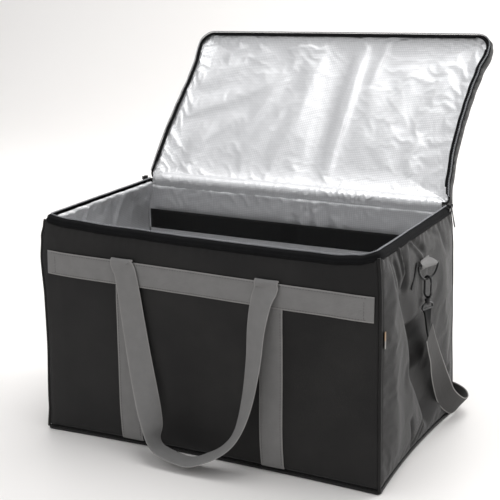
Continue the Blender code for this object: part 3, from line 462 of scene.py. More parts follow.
polyester, tree, shader = start_finish(
    "coated polyester weave",
    {"Roughness": 0.55, "Specular IOR Level": 0.22, "Sheen Weight": 0.10, "Sheen Roughness": 0.40},
)
place = add_node(tree, "ShaderNodeTexCoord")
warp = threads_wave(tree, place, "X", THREAD_SPACING)
weft = threads_wave(tree, place, "Y", THREAD_SPACING)
weave = add_node(tree, "ShaderNodeMath", {"operation": "MULTIPLY"}, {0: (warp, 0), 1: (weft, 0)})
rubbed = add_node(
    tree,
    "ShaderNodeTexNoise",
    {"Scale": 7.0, "Detail": 6.0, "Roughness": 0.6},
    {"Vector": (place, "Object")},
)
wear = add_node(
    tree,
    "ShaderNodeMapRange",
    {"From Min": 0.42, "From Max": 0.72, "To Min": 0.0, "To Max": 0.8},
    {"Value": (rubbed, "Fac")},
)
colour = add_node(
    tree,
    "ShaderNodeMix",
    {"data_type": "RGBA", "A": linear(CLOTH_DARK), "B": linear(CLOTH_RUBBED)},
    {"Factor": (wear, 0)},
)
tree.links.new(colour.outputs["Result"], shader.inputs["Base Color"])
grain = add_node(tree, "ShaderNodeTexNoise", {"Scale": 420.0, "Detail": 2.0}, {"Vector": (place, "Object")})
relief = add_node(tree, "ShaderNodeMath", {"operation": "ADD"}, {0: (weave, 0), 1: (grain, "Fac")})
bump = add_node(tree, "ShaderNodeBump", {"Strength": 0.30, "Distance": 0.0003}, {"Height": (relief, 0)})
tree.links.new(bump.outputs["Normal"], shader.inputs["Normal"])

WALL_COLUMNS = {"front": 170, "back": 90, "left": 90, "right": 130}
WALL_ROWS = {"front": 100, "back": 60, "left": 90, "right": 130}
walls = {}
for face, side in (("front", -1), ("back", 1)):
    rows = []
    across = np.linspace(-1, 1, WALL_COLUMNS[face])
    for level in np.linspace(0, 1, WALL_ROWS[face]):
        flat_x = across * RIM_WIDTH / 2
        z = PANEL_FOOT + level * (wall_top(face, flat_x) - PANEL_FOOT)
        half = np.where(across < 0, -edge_x(-1, z / HEIGHT), edge_x(1, z / HEIGHT)) - PIPING_RADIUS * 1.6
        x = across * half
        rows.append(np.stack([x, long_cloth(side, flat_x, z), z], axis=-1))
    rows = rows if side < 0 else [r[::-1] for r in rows]
    walls[face] = lay_cloth(f"{face}_wall", rows, polyester, WALL * 0.8)
for face, side in (("left", -1), ("right", 1)):
    rows = []
    across = np.linspace(-1, 1, WALL_COLUMNS[face])
    for level in np.linspace(0, 1, WALL_ROWS[face]):
        flat_y = across * RIM_DEPTH / 2
        z = PANEL_FOOT + level * (wall_top(face, flat_y) - PANEL_FOOT)
        y = across * (edge_y(1, z / HEIGHT) - PIPING_RADIUS * 1.6)
        rows.append(np.stack([side_cloth(side, flat_y, z), y, z], axis=-1))
    rows = np.array(rows if side > 0 else [r[::-1] for r in rows])
    walls[face] = lay_cloth(f"{face}_wall", rows, polyester)
    level, share = np.meshgrid(np.linspace(0, 1, WALL_ROWS[face]), across, indexing="ij")
    edge = np.minimum(np.minimum(level, 1 - level) * 0.36, (1 - np.abs(share)) * 0.17)
    held = np.clip(1 - edge / SEAM_GRIP, 0, 1).ravel()
    settle_cloth(walls[face], held, slack=0.004, frames=12, stiffness=14.0, cap=0.0022, push=0.2)
    thicken(walls[face], WALL * 0.8)
for face, wall in walls.items():
    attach(wall, "bag")
    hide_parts(f"{face}_panel")


# Base and piping
# A stiffened base of the same cloth, and a round cord wrapped in the cloth, sewn into every outside seam. The
# walls' lower edges are drawn in between the corners, and the base and its piping follow them.

BASE_THICKNESS = 0.008
BASE_INSET = 0.0055
PIPING_SINK = 0.0002


def close_ends(piece, sharp_degrees=None):
    """Fills the open ends of a tube or a stack of rings, and turns its faces outwards."""
    work = bmesh.new()
    work.from_mesh(piece.data)
    bmesh.ops.holes_fill(work, edges=work.edges, sides=0)
    bmesh.ops.recalc_face_normals(work, faces=work.faces)
    work.to_mesh(piece.data)
    work.free()
    if sharp_degrees:
        piece.data.set_sharp_from_angle(angle=math.radians(sharp_degrees))


def make_piece(name, points, faces, corners, finish, sharp_degrees=None):
    """One smooth piece, its faces turned outwards. Corners are the weave's coordinates, face by face."""
    mesh = bpy.data.meshes.new(name)
    mesh.from_pydata(points, [], faces)
    if corners:
        mesh.uv_layers.new(name="weave").data.foreach_set("uv", corners)
    mesh.materials.append(finish)
    work = bmesh.new()
    work.from_mesh(mesh)
    bmesh.ops.recalc_face_normals(work, faces=work.faces)
    work.to_mesh(mesh)
    work.free()
    mesh.shade_smooth()
    if sharp_degrees:
        mesh.set_sharp_from_angle(angle=math.radians(sharp_degrees))
    piece = bpy.data.objects.new(name, mesh)
    bpy.context.scene.collection.objects.link(piece)
    return piece


def round_piece(name, route, radius, finish, sides=12, closed=False):
    """A round cord, wire or pin along a route. The radius may change from point to point."""
    route = np.asarray(route, float)
    count = len(route)
    radius = np.broadcast_to(np.asarray(radius, float), (count,))
    if closed:
        along = np.roll(route, -1, 0) - np.roll(route, 1, 0)
    else:
        along = np.gradient(route, axis=0)
    along = along / np.linalg.norm(along, axis=1, keepdims=True)
    across = np.cross(along[0], (0, 0, 1) if abs(along[0][2]) < 0.9 else (0, 1, 0))
    rows, length, v = [], 0.0, []
    angles = np.arange(sides) * math.pi * 2 / sides
    for n in range(count):
        across = across - along[n] * across.dot(along[n])
        across = across / np.linalg.norm(across)
        other = np.cross(along[n], across)
        ring = route[n] + radius[n] * (np.outer(np.cos(angles), across) + np.outer(np.sin(angles), other))
        length += np.linalg.norm(route[n] - route[n - 1]) if n else 0.0
        rows.append(ring)
        v.append(length)
    points = np.concatenate(rows)
    u = np.arange(sides + 1) * math.pi * 2 * radius.mean() / sides
    faces, corners = [], []
    for r in range(count if closed else count - 1):
        s = (r + 1) % count
        v_next = v[s] if s else v[r] + v[1]
        for c in range(sides):
            n = (c + 1) % sides
            faces.append((r * sides + c, r * sides + n, s * sides + n, s * sides + c))
            corners += [u[c], v[r], u[c + 1], v[r], u[c + 1], v_next, u[c], v_next]
    if not closed:
        faces += [tuple(range(sides))[::-1], tuple(range((count - 1) * sides, count * sides))]
        corners += [0.0, 0.0] * sides * 2
    return make_piece(name, points.tolist(), faces, corners, finish, 60)


def base_line(inset, long_count, short_count):
    """Points round the base, under the walls' lower edges, with tight corners."""
    right_x, left_x, half_y = edge_x(1, 0) - inset, -edge_x(-1, 0) - inset, edge_y(1, 0) - inset
    share = np.linspace(-1, 1, long_count)
    reach = np.where(share > 0, right_x, left_x) - 0.004 * (np.abs(share) > 0.999)
    x = share * reach
    y = half_y - hem_draw(x / (RIM_WIDTH / 2 + SIDE_FLARE), 0.0)
    side_share = np.linspace(-1, 1, short_count)
    side_y = side_share * (half_y - 0.004 * (np.abs(side_share) > 0.999))
    drawn = hem_draw(side_y / (RIM_DEPTH / 2 + DEPTH_FLARE), 0.0)
    front = np.column_stack([x, -y])
    starboard = np.column_stack([right_x - drawn, side_y])
    rear = np.column_stack([x, y])[::-1]
    port = np.column_stack([drawn - left_x, side_y])[::-1]
    return np.concatenate([front, starboard, rear, port])


outline = base_line(BASE_INSET, 60, 40)
rings = []
flat_shares = (0.05, 0.5, 0.9, 0.985)
underside = [(share, 0.0) for share in flat_shares]
upper_side = [(share, BASE_THICKNESS) for share in flat_shares[::-1]]
for share, z in underside + [(1.0, BASE_THICKNESS * 0.2), (1.0, BASE_THICKNESS * 0.8)] + upper_side:
    rings.append(np.column_stack([outline * share, np.full(len(outline), z)]))
base = lay_cloth("base", rings, polyester, closed=True)
close_ends(base)
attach(base, "bag")
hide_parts("base_panel")

for end, side_x in (("left", -1), ("right", 1)):
    for face, side_y in (("front", -1), ("back", 1)):
        top = HEIGHT + RIM_LIFT - TAPE_HEIGHT if side_y < 0 else HEIGHT - BACK_EDGE
        z = np.linspace(PANEL_FOOT * 0.6, top, 90)
        wobble = 0.0004 * rumple(z, 0 * z, 0.05, side_x + side_y * 2.0)
        x = edge_x(side_x, z / HEIGHT) - side_x * (PIPING_RADIUS + PIPING_SINK) + wobble
        y = edge_y(side_y, z / HEIGHT) - side_y * (PIPING_RADIUS + PIPING_SINK) - wobble
        route = np.column_stack([x, y, z])
        cord = round_piece(f"piping_{face}_{end}_cord", route, PIPING_RADIUS, polyester, 14)
        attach(cord, "bag")
        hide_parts(f"piping_{face}_{end}")
outline = base_line(PIPING_RADIUS, 110, 70)
route = np.column_stack([outline, np.full(len(outline), PIPING_RADIUS + 0.0004)])
cord = round_piece("piping_base_cord", route, PIPING_RADIUS, polyester, closed=True)
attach(cord, "bag")
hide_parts("piping_base")


# Foil lining
# A box of aluminised film over thin foam, embossed with a fine square grid and sewn in under the rim. It
# creases near the seams and hangs in shallow folds on the walls. A strip of black webbing is sewn across
# the back.

FOIL = 0.0012
LINING_EASE = 0.0012
LINING_CORNER = 0.010
FOIL_BRIGHT = "#dadadb"
FOIL_GROOVE_SHADE = "#9b9c9e"
EMBOSS_SPACING = 0.0034

# Aluminised film: a bright, slightly cloudy mirror, because its emboss and creases scatter what it
# reflects. The squares are 1.7 mm and are drawn at 3.4 mm, because finer ones are lost in the render.
foil, tree, shader = start_finish("aluminised film", {"Metallic": 0.74, "Roughness": 0.46})
place = add_node(tree, "ShaderNodeTexCoord")
down = threads_wave(tree, place, "X", EMBOSS_SPACING)
over = threads_wave(tree, place, "Y", EMBOSS_SPACING)
dents = add_node(tree, "ShaderNodeMath", {"operation": "MAXIMUM"}, {0: (down, 0), 1: (over, 0)})
crumple = add_node(
    tree,
    "ShaderNodeTexNoise",
    {"noise_type": "RIDGED_MULTIFRACTAL", "Scale": 26.0, "Detail": 4.0, "Roughness": 0.5, "Distortion": 0.4},
    {"Vector": (place, "Object")},
)
# The embossed grid's lines are painted darker, as shade in the grooves
lines = add_node(
    tree,
    "ShaderNodeMapRange",
    {"From Min": 0.45, "From Max": 1.0, "To Min": 0.0, "To Max": 0.34},
    {"Value": (dents, 0)},
)
colour = add_node(
    tree,
    "ShaderNodeMix",
    {"data_type": "RGBA", "A": linear(FOIL_BRIGHT), "B": linear(FOIL_GROOVE_SHADE)},
    {"Factor": (lines, 0)},
)
tree.links.new(colour.outputs["Result"], shader.inputs["Base Color"])
soft = add_node(tree, "ShaderNodeBump", {"Strength": 0.35, "Distance": 0.0012}, {"Height": (crumple, "Fac")})
bump = add_node(
    tree,
    "ShaderNodeBump",
    {"Strength": 0.20, "Distance": 0.0004},
    {"Height": (dents, 0), "Normal": (soft, 0)},
)
tree.links.new(bump.outputs["Normal"], shader.inputs["Normal"])


def lining_top(face, along):
    if face == "back":
        ends = np.clip((RIM_WIDTH / 2 - np.abs(along)) / 0.012, 0, 1)
        return HEIGHT - 0.0115 * ends - 0.0065 * (1 - ends)
    return (front_rim_z(along) if face == "front" else side_rim_z(along)) - TAPE_HEIGHT * 0.62


def lining_stand(face, along, z):
    """How far the foil stands into the bag from its wall: folds, and creases near the rim and the corners."""
    seed = {"front": 2.2, "back": 5.2, "left": 8.2, "right": 3.2}[face]
    reach = (RIM_WIDTH if face in ("front", "back") else RIM_DEPTH) / 2
    from_top = np.clip(lining_top(face, along) - z, 0, None)
    from_corner = np.clip(reach - np.abs(along), 0, None)
    near_top = np.exp(-from_top / {"front": 0.012, "back": 0.016, "left": 0.040, "right": 0.020}[face])
    near_corner = np.exp(-from_corner / 0.030)
    stand = 0.0016 * (1 + rumple(along, z * 0.45, 0.060, seed))
    stand = stand + 0.0030 * near_corner * (1 + rumple(along, z * 0.15, 0.016, seed + 1))
    stand = stand + (0.0024 * near_top + 0.0007) * creases(along, z, 0.022, seed + 2)
    stand = stand + 0.0014 * near_top * (1 + rumple(along, z, 0.009, seed + 3))
    if face == "left":
        stand = stand + 0.0022 * np.exp(-from_top / 0.022) * creases(along * 1.6, z, 0.010, seed + 6)
        stand = stand + 0.0026 * near_top * (1 + rumple(along, z * 0.12, 0.020, seed + 7))
    if face == "back":
        hung = np.exp(-(((along - 0.052) / 0.050) ** 2))
        stand = stand + 0.0030 * hung * (1 + np.sin(along / 0.034 * math.pi * 2 + 3 * z / 0.1))
        small = np.exp(-(((along - 0.045) / 0.085) ** 2)) * np.exp(-(((z - 0.345) / 0.016) ** 2))
        stand = stand + 0.0026 * small * creases(along * 0.35, z, 0.007, seed + 4)
    ease = np.clip(from_top / 0.004, 0, 1)
    return stand * (0.25 + 0.75 * ease)


def lining_wall(face, along, z):
    """A place on the lining, from a distance along one wall and a height."""
    up = z / HEIGHT
    inset = WALL + LINING_EASE + FOIL
    if face in ("front", "back"):
        side = -1 if face == "front" else 1
        reach = np.where(along < 0, -edge_x(-1, up), edge_x(1, up)) - inset
        x = along / (RIM_WIDTH / 2) * reach
        y = edge_y(side, up) - side * (hem_draw(along / 0.3, up) + inset + lining_stand(face, along, z))
        return np.stack([x, y, z], axis=-1)
    side = -1 if face == "left" else 1
    y = along / (RIM_DEPTH / 2) * (edge_y(1, up) - inset)
    drawn = folds_at(LEFT_FOLDS if side < 0 else RIGHT_FOLDS, along, z) * 0.8
    x = edge_x(side, up) - side * (drawn + hem_draw(along / 0.18, up) + inset + lining_stand(face, along, z))
    return np.stack([x, y, z], axis=-1)


FLOOR_Z = BASE_THICKNESS + 0.0012
WALL_STEPS = {"front": 110, "right": 60, "back": 190, "left": 100}
rows = []
for level in np.linspace(0, 1, 84):
    ring = []
    for face, step in (("front", 1), ("right", 1), ("back", -1), ("left", -1)):
        reach = (RIM_WIDTH if face in ("front", "back") else RIM_DEPTH) / 2
        along = np.linspace(-1, 1, WALL_STEPS[face])[::step] * (reach - LINING_CORNER * 0.35)
        top = lining_top(face, along)
        ring.append(lining_wall(face, along, FLOOR_Z + 0.004 + level * (top - FLOOR_Z - 0.004)))
    rows.append(np.concatenate(ring))
middle = np.array((0.0, 0.0, FLOOR_Z))
for share in (0.985, 0.94, 0.85, 0.7, 0.5, 0.3, 0.08):
    ring = middle + (rows[0] - middle) * (share, share, 0)
    ring[:, 2] = FLOOR_Z + 0.0004 + 0.0008 * (1 + rumple(ring[:, 0], ring[:, 1], 0.04, 6.1)) * (share < 0.9)
    rows.insert(0, ring)
lining = lay_cloth("lining", rows, foil, -FOIL, closed=True)
work = bmesh.new()
work.from_mesh(lining.data)
floor_edges = [e for e in work.edges if e.is_boundary and e.verts[0].co.z < 0.05]
bmesh.ops.holes_fill(work, edges=floor_edges, sides=0)
work.to_mesh(lining.data)
work.free()
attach(lining, "bag")
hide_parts("foil_lining")

# Polypropylene webbing, black: dull and dense. Only its firm edges catch the light, and they are painted a
# little lighter as a highlight
WEBBING_BLACK = "#0c0c0c"
BLACK_EDGE_HIGHLIGHT = "#131313"
YARN_SPACING = 0.0018
COLUMN_SPACING = 0.0021
CHEVRON_WIDTH = 0.0042


def webbing_finish(name, colour_face, edge_highlight_colour, width, rough):
    """Woven polypropylene: ribs across, a chevron of yarns and two firm edges, painted lighter as a highlight
    where they catch the light.

    The yarns are 1 mm apart and are drawn at 1.8 mm, because finer ones are lost in the render."""
    finish, tree, shader = start_finish(
        name, {"Roughness": rough, "Specular IOR Level": 0.18, "Sheen Weight": 0.05, "Sheen Roughness": 0.5}
    )
    place = add_node(tree, "ShaderNodeTexCoord")
    parted = add_node(tree, "ShaderNodeSeparateXYZ", None, {0: (place, "UV")})
    from_middle = add_node(tree, "ShaderNodeMath", {"operation": "ABSOLUTE"}, {0: (parted, "X")})
    chevron = add_node(
        tree,
        "ShaderNodeMath",
        {"operation": "PINGPONG", 1: CHEVRON_WIDTH},
        {0: (from_middle, 0)},
    )
    slanted = add_node(tree, "ShaderNodeMath", {"operation": "ADD"}, {0: (parted, "Y"), 1: (chevron, 0)})
    waves = []
    for source, spacing in ((slanted, YARN_SPACING), (from_middle, COLUMN_SPACING)):
        turns = {"operation": "MULTIPLY", 1: math.pi * 2 / spacing}
        scaled = add_node(tree, "ShaderNodeMath", turns, {0: (source, 0)})
        waves.append(add_node(tree, "ShaderNodeMath", {"operation": "SINE"}, {0: (scaled, 0)}))
    ribs, yarns = waves
    height = add_node(tree, "ShaderNodeMath", {"operation": "ADD"}, {0: (ribs, 0), 1: (yarns, 0)})
    # The edges' lighter colour is a painted highlight
    edge = add_node(
        tree,
        "ShaderNodeMapRange",
        {"From Min": width / 2 - 0.0022, "From Max": width / 2 - 0.0008, "To Min": 0.0, "To Max": 1.0},
        {"Value": (from_middle, 0)},
    )
    fuzz = {"Scale": 60.0, "Detail": 5.0}
    fibres = add_node(tree, "ShaderNodeTexNoise", fuzz, {"Vector": (place, "Object")})
    worn = add_node(
        tree,
        "ShaderNodeMapRange",
        {"From Min": 0.3, "From Max": 0.75, "To Min": 0.95, "To Max": 1.05},
        {"Value": (fibres, "Fac")},
    )
    face_colour = add_node(
        tree,
        "ShaderNodeMix",
        {"data_type": "RGBA", "A": linear(colour_face), "B": linear(edge_highlight_colour)},
        {"Factor": (edge, 0)},
    )
    tinted = add_node(
        tree, "ShaderNodeVectorMath", {"operation": "SCALE"}, {0: (face_colour, "Result"), "Scale": (worn, 0)}
    )
    tree.links.new(tinted.outputs["Vector"], shader.inputs["Base Color"])
    bump = add_node(tree, "ShaderNodeBump", {"Strength": 0.4, "Distance": 0.0003}, {"Height": (height, 0)})
    tree.links.new(bump.outputs["Normal"], shader.inputs["Normal"])
    return finish


black_webbing = webbing_finish("black polypropylene webbing", WEBBING_BLACK, BLACK_EDGE_HIGHLIGHT, 0.036, 0.75)
BAND_LOW, BAND_TOP = 0.2840, 0.3200
BAND_LEFT, BAND_RIGHT = -0.2800, 0.2830
along = np.linspace(BAND_LEFT, BAND_RIGHT, 120)
rows = []
for z in np.linspace(BAND_TOP, BAND_LOW, 9):
    sag = 0.0012 * np.cos(along / 0.29 * math.pi / 2)
    band = lining_wall("back", along, z - sag)
    clear = lining_wall("back", along, np.full(len(along), 0.302))[:, 1].min()
    band[:, 1] = clear - 0.0016 - 0.0006 * (1 + rumple(along, 0 * along + z, 0.05, 1.9))
    band[:, 0] = along + 0.004 * np.sign(along) * (np.abs(along) > 0.27)
    rows.append(band)
lining_band = lay_cloth("lining_webbing", rows, black_webbing, 0.0018)
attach(lining_band, "bag")
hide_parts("lining_band")


# Zip of the body
# Two-way coil zip: a woven black tape sewn round three sides of the rim, with a polyester coil along its
# upper edge. The tape leans in over the lining and ripples where the stitching draws it up.

CORNER_ROUND = 0.012
TAPE_THICKNESS = 0.0012
COIL_RADIUS = 0.0014
COIL_PITCH = 0.0031
COIL_WIRE = 0.00075
RIM_STEP = 0.003
SLIDER_WIDTH = 0.010
TAPE_DARK = "#0e0e0f"
TAPE_FLUFF = "#19191a"
TAPE_RIBS = 0.0016
COIL_HIGHLIGHT_DIM = "#76777a"
COIL_HIGHLIGHT_BRIGHT = "#96979b"

# Woven polyester tape: dull black, ribbed across. Its ribs are 0.6 mm apart and are drawn at 1.6 mm,
# because finer ones are lost in the render.
zip_tape, tree, shader = start_finish("woven zip tape", {"Roughness": 0.85, "Specular IOR Level": 0.08})
place = add_node(tree, "ShaderNodeTexCoord")
ribs = threads_wave(tree, place, "X", TAPE_RIBS)
fluff = add_node(tree, "ShaderNodeTexNoise", {"Scale": 90.0, "Detail": 3.0}, {"Vector": (place, "Object")})
colour = add_node(
    tree,
    "ShaderNodeMix",
    {"data_type": "RGBA", "A": linear(TAPE_DARK), "B": linear(TAPE_FLUFF)},
    {"Factor": (fluff, "Fac")},
)
tree.links.new(colour.outputs["Result"], shader.inputs["Base Color"])
bump = add_node(tree, "ShaderNodeBump", {"Strength": 0.35, "Distance": 0.0003}, {"Height": (ribs, 0)})
tree.links.new(bump.outputs["Normal"], shader.inputs["Normal"])

# Polyester monofilament, wound and heat-set: smooth and slightly shiny. Its black is painted grey as a
# highlight, so each turn shows as a grey glint
coil_yarn, tree, shader = start_finish("heat-set polyester coil", {"Roughness": 0.35, "IOR": 1.57})
place = add_node(tree, "ShaderNodeTexCoord")
tone = add_node(tree, "ShaderNodeTexNoise", {"Scale": 30.0, "Detail": 2.0}, {"Vector": (place, "Object")})
colour = add_node(
    tree,
    "ShaderNodeMix",
    {"data_type": "RGBA", "A": linear(COIL_HIGHLIGHT_DIM), "B": linear(COIL_HIGHLIGHT_BRIGHT)},
    {"Factor": (tone, "Fac")},
)
tree.links.new(colour.outputs["Result"], shader.inputs["Base Color"])


def smooth_route(rows, steps):
    """A smooth curve through every row of numbers, with that many steps between two rows."""
    rows = np.asarray(rows, float)
    ends = np.vstack([rows[:1] * 2 - rows[1:2], rows, rows[-1:] * 2 - rows[-2:-1]])
    out = []
    for a, b, c, d in zip(ends, ends[1:], ends[2:], ends[3:]):
        for step in range(steps):
            t = step / steps
            square, cube = a * 2 - b * 5 + c * 4 - d, b * 3 - a - c * 3 + d
            out.append(0.5 * (b * 2 + (c - a) * t + square * t**2 + cube * t**3))
    out.append(rows[-1])
    return np.array(out)


def evenly(route, spacing):
    """The same route with its points a fixed distance apart."""
    route = np.asarray(route, float)
    length = np.concatenate(([0], np.cumsum(np.linalg.norm(np.diff(route[:, :3], axis=0), axis=1))))
    count = max(int(round(length[-1] / spacing)), 2) + 1
    at = np.linspace(0, length[-1], count)
    return np.column_stack([np.interp(at, length, route[:, n]) for n in range(route.shape[1])])


def wound_coil(name, route, radius, wire, pitch, finish):
    """A zip's coil: one yarn wound round the line of its teeth."""
    line = evenly(route, pitch / 7)
    along = np.gradient(line, axis=0)
    along /= np.linalg.norm(along, axis=1, keepdims=True)
    side = np.cross(along, (0.13, 0.2, 1.0))
    side /= np.linalg.norm(side, axis=1, keepdims=True)
    rise = np.cross(side, along)
    angle = np.arange(len(line)) * math.pi * 2 / 7
    turns = line + (radius - wire) * (np.cos(angle)[:, None] * side * 1.25 + np.sin(angle)[:, None] * rise)
    return round_piece(name, turns, wire, finish, 5)


def rim_route(inset, back_end):
    """Points along the left, front and right of the rim, with rounded front corners."""
    half_x, half_y = RIM_WIDTH / 2 - inset, RIM_DEPTH / 2 - inset
    bend = CORNER_ROUND - inset / 2
    ends = {}
    for side in (-1, 1):
        depths = np.linspace(RIM_DEPTH / 2 - back_end, -half_y + bend, 60)
        ends[side] = [(side * half_x, y, side_rim_z(y)) for y in depths]
        for turn in (15, 30, 45, 60, 75):
            a = math.radians(turn)
            x, y = side * (half_x - bend * (1 - math.cos(a))), -half_y + bend * (1 - math.sin(a))
            ends[side].append((x, y, front_rim_z(x)))
    front = [(x, -half_y, front_rim_z(x)) for x in np.linspace(-half_x + bend, half_x - bend, 110)]
    return evenly(ends[-1] + front + ends[1][::-1], RIM_STEP)


def outward(route):
    """Level directions away from the bag's middle, square to a route round it."""
    along = np.gradient(route, axis=0)
    away = np.column_stack([-along[:, 1], along[:, 0], 0 * along[:, 0]])
    away /= np.maximum(np.linalg.norm(away, axis=1, keepdims=True), 1e-9)
    return away * np.sign((away * route).sum(1).mean())


low = rim_route(WALL / 2, SLIDER_WIDTH)
away = outward(low)
run = np.arange(len(low)) * RIM_STEP
waver = rumple(run, 0 * run, 0.030, 3.3)
fine = np.sin(run / 0.0062 * math.pi * 2 / 1.3 + 3 * rumple(run, 0 * run, 0.04, 5.1))
rows = []
# Rows are: height below the rim, distance out from the tape's foot
for drop, out in (
    (-0.0150, 0.0042),
    (-0.0125, 0.0050),
    (-0.0108, 0.0052),
    (-0.0094, 0.0040),
    (-0.0086, 0.0034),
    (-0.0066, 0.0032),
    (-0.0046, 0.0018),
    (-0.0034, -0.0004),
    (-0.0030, -0.0030),
    (-0.0031, -0.0046),
):
    sway = 0.0005 * waver * (1 + drop / 0.02) + 0.00035 * fine * np.exp(-abs(drop + 0.0095) / 0.003)
    row = low + away * (out + sway)[:, None]
    row[:, 2] += drop + 0.0005 * waver
    rows.append(row)
body_tape = lay_cloth("body_tape", rows, zip_tape)
thicken(body_tape, TAPE_THICKNESS, 0)
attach(body_tape, "bag")
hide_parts("body_zip_tape")
route = low + away * -0.0038 + (0, 0, -COIL_RADIUS)
route[:, 2] += 0.0005 * waver
body_coil = wound_coil("body_coil", route, COIL_RADIUS, COIL_WIRE, COIL_PITCH, coil_yarn)
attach(body_coil, "bag")
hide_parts("body_zip_coil")


# Lid
# A padded panel of the same cloth with a gathered band round it, held up at a lean and bowed a little by
# its own spring. Inside, aluminised foil is sewn in round the edge and pulls into long folds towards the
# hinge.

LID_LENGTH = 0.329
LID_DEPTH = 0.023
LID_WALL = 0.006
LID_INSET = 0.001
LID_SWAY = 0.015
LID_FAR_ROUND = 0.028
LID_NEAR_ROUND = 0.010
LEAN_LEFT = math.radians(40.5)
LEAN_RIGHT = math.radians(36.5)
GUSSET_THICKNESS = 0.003
FOIL_EDGE = 0.0045
FOIL_DISH = 0.0095

# Rows are: share of the lid's length from the hinge, and how far the left and the right edge stand out
# there (shares of LID_SWAY)
LID_EDGES = (
    (0.00, 0.20, -0.30),
    (0.14, 0.25, -0.75),
    (0.30, 0.22, -1.00),
    (0.46, 0.00, -0.93),
    (0.56, -0.20, -0.78),
    (0.66, -0.42, -0.58),
    (0.78, -0.50, -0.20),
    (0.89, -0.32, 0.40),
    (1.00, -0.30, 0.52),
)

# Folds of the lid's foil, in metres across and along the lid. Rows are: start, end, half-widths to the left
# and the right of the fold, height (a hollow when below 0)
LID_FOLDS = (
    (-0.005, 0.330, -0.062, 0.041, 0.014, 0.034, 0.0040),
    (-0.060, 0.320, -0.140, 0.120, 0.012, 0.026, 0.0036),
    (-0.099, 0.240, -0.270, 0.130, 0.012, 0.022, 0.0030),
    (-0.130, 0.300, -0.275, 0.205, 0.016, 0.022, 0.0022),
    (-0.150, 0.150, -0.240, 0.060, 0.010, 0.024, 0.0026),
    (-0.060, 0.200, -0.130, 0.040, 0.014, 0.026, 0.0028),
    (0.030, 0.325, 0.010, 0.030, 0.020, 0.020, -0.0030),
    (0.068, 0.325, 0.060, 0.050, 0.006, 0.026, 0.0036),
    (0.109, 0.325, 0.094, 0.235, 0.005, 0.014, 0.0028),
    (0.100, 0.240, 0.120, 0.060, 0.024, 0.030, 0.0022),
    (0.170, 0.300, 0.150, 0.060, 0.026, 0.030, 0.0022),
    (0.235, 0.300, 0.205, 0.040, 0.018, 0.026, 0.0024),
    (-0.190, 0.300, -0.230, 0.270, 0.008, 0.012, 0.0020),
    (-0.210, 0.120, -0.225, 0.020, 0.012, 0.020, 0.0018),
)


def lid_point(across, along, depth):
    """A place in the lid: across from its middle, along from the hinge, and depth towards its open side."""
    across, along, depth = np.broadcast_arrays(*[np.asarray(v, float) for v in (across, along, depth)])
    share = across / RIM_WIDTH + 0.5
    lean = LEAN_LEFT + (LEAN_RIGHT - LEAN_LEFT) * share
    far = np.clip(along / LID_LENGTH, 0.0, 1.0)
    bow = np.where(across < 0, along_table(LID_EDGES, far, 1), along_table(LID_EDGES, far, 2))
    x = across * (1 + bow * LID_SWAY * 2 / RIM_WIDTH)
    y = RIM_DEPTH / 2 + along * np.sin(lean) - depth * np.cos(lean)
    z = HEIGHT + along * np.cos(lean) + depth * np.sin(lean)
    return np.stack([x, y, z], axis=-1)


def lid_ring(inset):
    """Round the lid's outline from its near right corner, as places across and along."""
    half, near, far = RIM_WIDTH / 2 - LID_INSET - inset, LID_INSET + inset, LID_LENGTH - inset
    points = []
    for x, along, radius, start in (
        (half, near, LID_NEAR_ROUND, -90),
        (half, far, LID_FAR_ROUND, 0),
        (-half, far, LID_FAR_ROUND, 90),
        (-half, near, LID_NEAR_ROUND, 180),
    ):
        radius = max(radius - inset, 0.002)
        middle_x = x - math.copysign(radius, x)
        middle_s = along + radius if along == near else along - radius
        for turn in np.linspace(0, 90, 13):
            a = math.radians(start + turn)
            points.append((middle_x + radius * math.cos(a), middle_s + radius * math.sin(a)))
    points.append(points[0])
    return evenly(points, RIM_STEP)[:-1]


def lid_spread(inset, columns, rows):
    """Places across and along the lid with its corners rounded, and their shares from -1 to 1."""
    half, middle = RIM_WIDTH / 2 - LID_INSET - inset, LID_LENGTH / 2
    reach = middle - inset
    share_x = np.sin(np.linspace(-1, 1, columns) * math.pi / 2 * 0.82) / math.sin(math.pi / 2 * 0.82)
    share_s = np.sin(np.linspace(-1, 1, rows) * math.pi / 2 * 0.82) / math.sin(math.pi / 2 * 0.82)
    share_s, share_x = np.meshgrid(share_s, share_x, indexing="ij")
    x, s = share_x * half, share_s * reach
    radius = np.where(share_s > 0, LID_FAR_ROUND, LID_NEAR_ROUND) - inset
    over_x = np.maximum(np.abs(x) - half + radius, 0)
    over_s = np.maximum(np.abs(s) - reach + radius, 0)
    length = np.hypot(over_x, over_s)
    both = (over_x > 0) & (over_s > 0)
    scale = np.where(both, np.maximum(over_x, over_s) / np.maximum(length, 1e-9), 1.0)
    x = np.where(both, np.sign(x) * (half - radius + over_x * scale), x)
    s = np.where(both, np.sign(s) * (reach - radius + over_s * scale), s)
    return x, middle + LID_INSET / 2 + s, share_x, share_s


x, s, share_x, share_s = lid_spread(0.0, 110, 76)
edge = np.clip((1 - np.maximum(np.abs(share_x), np.abs(share_s))) / 0.10, 0, 1)
puff = 0.0022 * edge + 0.0016 * edge * rumple(x, s, 0.11, 12.1) + 0.0004 * edge * rumple(x, s, 0.03, 12.7)
panel = lid_point(x, s, -LID_DEPTH - puff)
lid_cover = lay_cloth("lid_cover", panel[::-1], polyester, LID_WALL * 0.8)
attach(lid_cover, "bag")
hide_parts("lid_panel")

